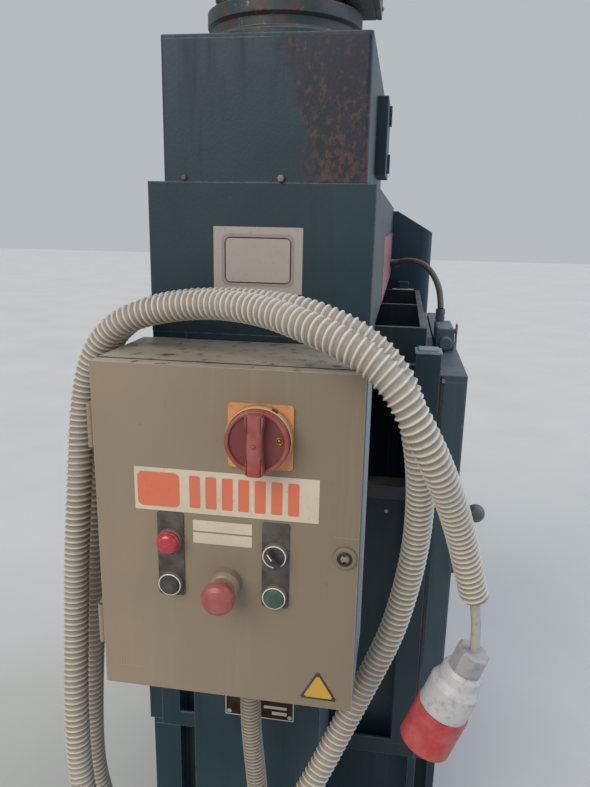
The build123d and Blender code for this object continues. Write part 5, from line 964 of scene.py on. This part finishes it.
def add_triangle(bm, inset, start, thickness):
    """The blank warning triangle, smaller by an inset all round."""
    centre = Vector((sum(x for x, _ in TRIANGLE) / 3, sum(z for _, z in TRIANGLE) / 3))
    outline = []
    for point in TRIANGLE:
        corner = Vector(point) - centre
        reach = corner.length
        corner = corner * ((reach - 2 * inset) / reach)
        outline.append((corner.x, corner.y))
    add_slab(bm, outline, start, start + thickness, on_front(centre.x, DOOR_FACE_Y, centre.y))
    bmesh.ops.recalc_face_normals(bm, faces=bm.faces)
    upright = [edge for edge in bm.edges
               if abs((edge.verts[0].co - edge.verts[1].co).normalized().y) > 0.9]
    bmesh.ops.bevel(bm, geom=upright, offset=2.2 * MM, segments=4, affect="EDGES")


def add_marks(coat):
    """The raised pressing marks near the door's lower left corner and the fold line over the lock."""
    parts = []
    for x0, x1, z0, z1 in PRESSING_MARKS:
        outline = rectangle(x1 - x0, z1 - z0, 0.4 * MM, 2)
        place = on_front((x0 + x1) / 2, DOOR_FACE_Y, (z0 + z1) / 2)
        parts.append((add_slab, outline, -0.1 * MM, 0.35 * MM, place))
    build("pressing_marks", coat, "enclosure_door", parts, bevel=0.2)


class PRESS_OT_enclosure(bpy.types.Operator):
    """Finishes the control enclosure and adds its gasket, plates, strips and raised marks"""
    bl_idname = "press.enclosure"
    bl_label = "Control enclosure"

    def execute(self, context):
        coat = powder_coat("Polyester powder coat on steel, pebble", colours().enclosure)
        dress(coat, "enclosure_body", "enclosure_door")
        dress(moulded("Polyamide, light grey gear", "#8f9190", 0.45), "control_gear")
        dress(moulded("Phenolic, black contact blocks", "#232427", 0.4), "contact_blocks")
        add_gasket()
        add_plates()
        add_marks(coat)
        return {"FINISHED"}


def add_lens(material):
    """The lamp's lens: a flat dome as wide as its bezel, with a rounded step near the foot."""
    dome = in_mm((0, -2), (11.0, -2), (11.0, 0.2), (13.4, 0.2), (13.4, 2.2), (12.9, 3.0), (12.5, 3.2),
                 (12.3, 5.6), (11.3, 7.6), (9.0, 9.0), (5.5, 9.8), (0, 10.0))
    place = on_front(LAMP_AXIS[0], BEZEL_FACE_Y, LAMP_AXIS[1])
    lens = build("lamp_dome", material, "enclosure_door", [(add_turned, dome, place, 40)], smooth=True)
    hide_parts("lamp_lens")


def add_rings():
    """Thin bright rings round the two caps and the selector."""
    pale = moulded("Polyamide, white rings", "#dcd8cc", 0.3, dirt=0.15)
    ring = in_mm((11.9, -0.3), (13.2, -0.3), (13.2, 0.6), (12.8, 1.0), (12.3, 1.0), (11.9, 0.6),
                 (11.9, -0.3))
    parts = [(add_turned, ring, on_front(x, BEZEL_FACE_Y, z), 40)
             for x, z in (BLACK_AXIS, GREEN_AXIS, SELECTOR_AXIS)]
    build("button_rings", pale, "enclosure_door", parts, smooth=True)


def add_pointer():
    """White line inlaid along the selector's grip."""
    white = moulded("Inlay, white", "#dcd8cc", 0.35, dirt=0.15)
    grip_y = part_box("selector_knob")[0][1]
    place = on_front(SELECTOR_AXIS[0], grip_y, SELECTOR_AXIS[1])
    place = place @ Matrix.Rotation(SELECTOR_REST_ANGLE, 4, "Z")
    outline = [(x, y + 5.8 * MM) for x, y in rectangle(1.3 * MM, 9.0 * MM, 0.5 * MM, 3)]
    build("selector_line", white, "selector", [(add_slab, outline, -0.05 * MM, 0.15 * MM, place)])


def add_switch_details(red):
    """Raised rim, fixed ring, grip shoulders, lock pin and screw of the main switch."""
    grip_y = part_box("main_switch_handle")[0][1]
    x, z = SWITCH_AXIS
    on_disc = on_front(x, SWITCH_DISC_Y, z)
    rim = in_mm((29.5, -0.5), (34.0, -0.5), (34.3, 1.6), (33.4, 2.8), (30.6, 2.8), (29.5, 1.6),
                (29.5, -0.5))
    build("handle_rim", red, "main_switch", [(add_turned, rim, on_disc, 56)], smooth=True)
    add_fixed_ring()
    proud = SWITCH_DISC_Y - grip_y
    parts = []
    for side in (-1, 1):
        for end in (-1, 1):
            wedge = in_mm((side * 7.6, end * 13), (side * 9.6, end * 24), (side * 9.6, end * 31.5),
                          (side * 7.6, end * 31.5))
            outline = wedge if side * end < 0 else wedge[::-1]
            parts.append((add_slab, outline, 0.2 * MM, proud - 0.3 * MM, on_disc))
    build("grip_shoulders", red, "main_switch", parts, bevel=1.2)
    brass = metal("Brass screw, tarnished", "#9a7b45", 0.35, "#4e3c22")
    pin = on_disc @ Matrix.Translation((24.0 * MM, 3.0 * MM, 0))
    cup = in_mm((2.6, -0.3), (4.2, -0.3), (4.2, 0.9), (3.6, 1.3), (2.6, 1.0), (2.6, -0.3))
    build("handle_screw", brass, "main_switch", [
        (add_screw, on_front(x, grip_y, z), 2.3 * MM), (add_turned, cup, pin, 24),
        (add_screw, pin, 2.1 * MM)])


def add_fixed_ring():
    """The faded fixed ring that the main switch's disc turns in, with its dark padlock slot."""
    x, z = SWITCH_AXIS
    plate_face = on_front(x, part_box("main_switch_plate")[0][1], z)
    ring = in_mm((34.9, -0.2), (36.0, -0.2), (35.8, 13.2), (35.4, 13.8), (34.9, 13.8), (34.9, -0.2))
    peach = moulded("ABS, faded peach ring", "#cf9d74", 0.45, dirt=0.3)
    build("switch_fixed_ring", peach, "enclosure_door", [(add_turned, ring, plate_face, 64)], smooth=True)
    towards_slot = plate_face @ Matrix.Rotation(math.radians(62), 4, "Z")
    on_ring = towards_slot @ Matrix.Translation((35.8 * MM, 0, 7.2 * MM))
    outward = on_ring @ Matrix.Rotation(math.radians(90), 4, "Y")
    # The padlock slot is a dark patch on the ring: painted shade where the opening would be
    outline = rectangle(7.6 * MM, 7.4 * MM, 2.4 * MM, 4)
    dark = moulded("ABS, shaded slot", "#231c17", 0.7)
    build("switch_ring_slot", dark, "enclosure_door", [(add_slab, outline, -0.6 * MM, 0.3 * MM, outward)])


def add_lock_rim():
    """The lock's raised dark rim and the light square of its driver."""
    centre = on_front(LOCK_AXIS[0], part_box("door_lock")[0][1], LOCK_AXIS[1])
    rim = in_mm((5.2, -0.2), (8.4, -0.2), (8.2, 0.9), (7.2, 1.3), (5.8, 1.0), (5.2, -0.2))
    dark = metal("Steel lock rim, rusting", "#4a443c", 0.45, "#2c241e")
    build("lock_rim", dark, "lock", [(add_turned, rim, centre, 36)])
    square = rectangle(5.4 * MM, 5.4 * MM, 0.7 * MM, 3)
    bright = metal("Zinc driver, worn", "#a49c8c", 0.4, "#6c6455")
    build("lock_driver", bright, "lock", [(add_slab, square, -0.2 * MM, 0.9 * MM, centre)], bevel=0.4)


class PRESS_OT_devices(bpy.types.Operator):
    """Finishes the switches, buttons, lamp and lock and adds their rings, pointer and screw"""
    bl_idname = "press.devices"
    bl_label = "Control devices"

    def execute(self, context):
        paint = colours()
        dress(moulded("Phenolic laminate, engraved brown", "#342b27", 0.5, dirt=0.3), "legend_plates")
        bezels = moulded("Polyamide, smoked grey bezels", "#625849", 0.42, dirt=0.5, extra=stop_collar_tint)
        dress(bezels, "device_bezels")
        add_lens(lens_plastic("Polycarbonate, red lens", "#a3252b"))
        dress(moulded("Polyamide, black caps", "#1a1917", 0.42, dirt=0.3), "button_black", "selector_knob")
        dress(moulded("Polyamide, green cap", "#264738", 0.42, dirt=0.3), "button_green")
        dress(moulded("ABS, sun-faded red", paint.stop_button, 0.38, dirt=0.25), "emergency_stop")
        dress(moulded("ABS, orange plate", paint.switch_plate, 0.42), "main_switch_plate")
        red = moulded("ABS, worn red handle", paint.switch_handle, 0.4, extra=dish_painted_shade)
        dress(red, "main_switch_handle")
        dress(moulded("Zinc die casting, painted lock", "#3b342c", 0.45, extra=lock_tint), "door_lock")
        add_rings()
        add_pointer()
        add_switch_details(red)
        add_lock_rim()
        return {"FINISHED"}


def add_rating_plate():
    """A bare brown plate with a light border line, a ring in each corner and four blank fields."""
    plate = metal("Aluminium plate, brown anodised", "#4a3a36", 0.5, "#2f2724")
    light = vinyl("Etched aluminium lines", "#b3b1a6", dirt=0.4)
    place = on_front(RATING_MIDDLE[0], COLUMN_FRONT_Y, RATING_MIDDLE[1])
    thick = 0.8 * MM
    sheet = (add_slab, rectangle(*RATING_SIZE, 1.5 * MM, 3), 0, thick, place)
    build("rating_plate", plate, "machine", [sheet])
    face = place @ Matrix.Translation((0, 0, thick))
    build("rating_border", light, "machine", [(add_frame, face, 0.103, 0.059, 1.5 * MM, 1.2 * MM)])
    parts = []
    for x, y, wide, tall in RATING_BLANKS:
        blank = [(px + x, py + y) for px, py in rectangle(wide, tall, 0.4 * MM, 2)]
        parts.append((add_slab, blank, 0, PRINT_FILM, face))
    build("rating_blanks", light, "machine", parts)
    ring = in_mm((1.9, -0.1), (3.2, -0.1), (3.2, 0.3), (1.9, 0.3), (1.9, -0.1))
    parts = []
    across, up = RATING_RIVETS
    for x in (-across, across):
        for y in (-up, up):
            corner = face @ Matrix.Translation((x, y, 0))
            parts += [(add_turned, ring, corner, 24), (add_screw, corner, 1.5 * MM, False)]
    build("rating_rivets", light, "machine", parts)


class PRESS_OT_plates(bpy.types.Operator):
    """Adds the bare rating plate, the generic sticker on the beam and the coloured strip on its side"""
    bl_idname = "press.plates"
    bl_label = "Plates and stickers"

    def execute(self, context):
        thick = sizes().decal_thickness
        white = vinyl("Vinyl film, matt white sticker", "#9f968e")
        grey = vinyl("Vinyl print, grey frame", "#8a807d")
        red = vinyl("Vinyl print, dull red line", "#7d4a48")
        x, z = STICKER_MIDDLE
        sticker = (add_slab, rectangle(*STICKER_SIZE, 0.8 * MM, 2), 0, thick, on_front(x, BEAM_LOW[1], z))
        build("beam_sticker", white, "machine", [sticker])
        printed = on_front(x, BEAM_LOW[1] - thick, z)
        build("sticker_frame", grey, "machine", [(add_frame, printed, 0.092, 0.064, 5.0 * MM, 0.009)])
        build("sticker_line", red, "machine", [(add_frame, printed, 0.084, 0.056, 1.6 * MM, 0.007)])
        strip = (add_slab, rectangle(*BEAM_STRIP_SIZE, 2 * MM, 3), 0, thick,
                 on_right(BEAM_HIGH[0], *BEAM_STRIP_MIDDLE))
        build("beam_strip", vinyl("Vinyl film, faded red strip", "#8d4a4f"), "machine", [strip])
        add_rating_plate()
        return {"FINISHED"}


class PRESS_OT_safety_switch(bpy.types.Operator):
    """Finishes the safety switch and its glands and adds the cover screws"""
    bl_idname = "press.safety_switch"
    bl_label = "Safety switch"

    def execute(self, context):
        housing = enamel("Die-cast zinc, blue-grey enamel", "#4a5a63", roughness=0.45, rust=0.2)
        dress(housing, "safety_switch", "switch_glands")
        low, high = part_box("safety_switch")
        steel = metal("Cross-head screws, plated", "#8a8884", 0.35, "#4b443b")
        parts = [(add_screw, on_top(x, y, high[2]), 2.6 * MM)
                 for x in (low[0] + 7 * MM, high[0] - 7 * MM) for y in SWITCH_COVER_SCREWS_Y]
        build("safety_switch_screws", steel, "machine", parts)
        return {"FINISHED"}


def lay_cable():
    """The smooth cable between the conduit and the plug."""
    sheath = moulded("PVC cable sheath, grey", "#a09a92", 0.5, dirt=0.4, bevel=0.1)
    line = spline_points(CABLE_ROUTE)
    cable = route_spline("supply_cable_sheath", CABLE_ROUTE, CABLE_RADIUS)
    cable.data.materials.append(sheath)
    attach(cable, "machine")
    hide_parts("supply_cable")


def finish_fittings(paint):
    """The plug's parts and the fittings where the conduits end."""
    shell = moulded("Polyamide, white-grey plug shell", paint.plug_shell, 0.42, dirt=0.4, bevel=1.2)
    dress(shell, "plug_body")
    dress(moulded("Polyamide, grey clamp nut", "#8f8c90", 0.45, dirt=0.4, bevel=1.0), "plug_nut")
    dress(moulded("Polyamide, red plug collar", paint.plug_collar, dirt=0.3, bevel=1.0), "plug_collar")
    dress(metal("Brass pins, turned", "#b09355", 0.25, "#6d5730"), "plug_pins")
    dress(moulded("Polyamide, grey conduit fittings", "#5d5f5e", 0.5, dirt=0.5), "conduit_fittings")


class PRESS_OT_conduits(bpy.types.Operator):
    """Lays the ribbed conduits and the cable along their routes and finishes the plug"""
    bl_idname = "press.conduits"
    bl_label = "Conduits and plug"

    def execute(self, context):
        paint = colours()
        size = sizes()
        cream = ribbed_conduit("Polyamide conduit, sun-bleached cream", paint.conduit, "#857b6e")
        grey = ribbed_conduit("Polyamide conduit, grey", paint.motor_conduit, "#62594c")
        dark = ribbed_conduit("Steel conduit in dark sleeve", "#6b665d", "#3a352e")
        supply, line, length = ribbed_tube(
            "supply_conduit_ribbed", SUPPLY_CONDUIT_ROUTE, SUPPLY_CONDUIT_RADIUS,
            size.supply_ridge_pitch, size.ridge_depth, cream)
        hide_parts("supply_conduit")
        motor, line, length = ribbed_tube(
            "motor_conduit_ribbed", MOTOR_CONDUIT_ROUTE, MOTOR_CONDUIT_RADIUS,
            size.motor_ridge_pitch, size.ridge_depth * 0.6, grey)
        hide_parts("motor_conduit")
        thin, line, length = ribbed_tube(
            "switch_conduit_ribbed", SWITCH_CONDUIT_ROUTE, SWITCH_CONDUIT_RADIUS,
            SWITCH_RIDGE_PITCH, SWITCH_RIDGE_DEPTH, dark, sides=14, steps=6)
        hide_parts("switch_conduit")
        lay_cable()
        finish_fittings(paint)
        return {"FINISHED"}


class PRESS_PT_panel(bpy.types.Panel):
    """Lists the press's sizes, colours and pieces"""
    bl_label = "Waste press"
    bl_idname = "PRESS_PT_panel"
    bl_space_type = "VIEW_3D"
    bl_region_type = "UI"
    bl_category = "Waste press"

    def draw(self, context):
        layout = self.layout
        for group in (context.scene.press_sizes, context.scene.press_colours):
            box = layout.box()
            for name in group.bl_rna.properties.keys():
                if name not in ("rna_type", "name"):
                    box.prop(group, name)
        for operator in OPERATORS:
            layout.operator(operator.bl_idname)


OPERATORS = (PRESS_OT_stage, PRESS_OT_structure, PRESS_OT_power_unit, PRESS_OT_enclosure, PRESS_OT_devices,
             PRESS_OT_plates, PRESS_OT_safety_switch, PRESS_OT_conduits)
CLASSES = (PressColours, PressSizes) + OPERATORS + (PRESS_PT_panel,)


def register():
    for item in CLASSES:
        bpy.utils.register_class(item)
    bpy.types.Scene.press_colours = bpy.props.PointerProperty(type=PressColours)
    bpy.types.Scene.press_sizes = bpy.props.PointerProperty(type=PressSizes)


def unregister():
    del bpy.types.Scene.press_sizes
    del bpy.types.Scene.press_colours
    for item in reversed(CLASSES):
        bpy.utils.unregister_class(item)


def main():
    register()
    bpy.ops.press.stage()
    bpy.ops.press.structure()
    bpy.ops.press.power_unit()
    bpy.ops.press.enclosure()
    bpy.ops.press.devices()
    bpy.ops.press.plates()
    bpy.ops.press.safety_switch()
    bpy.ops.press.conduits()


if __name__ == "__main__":
    main()
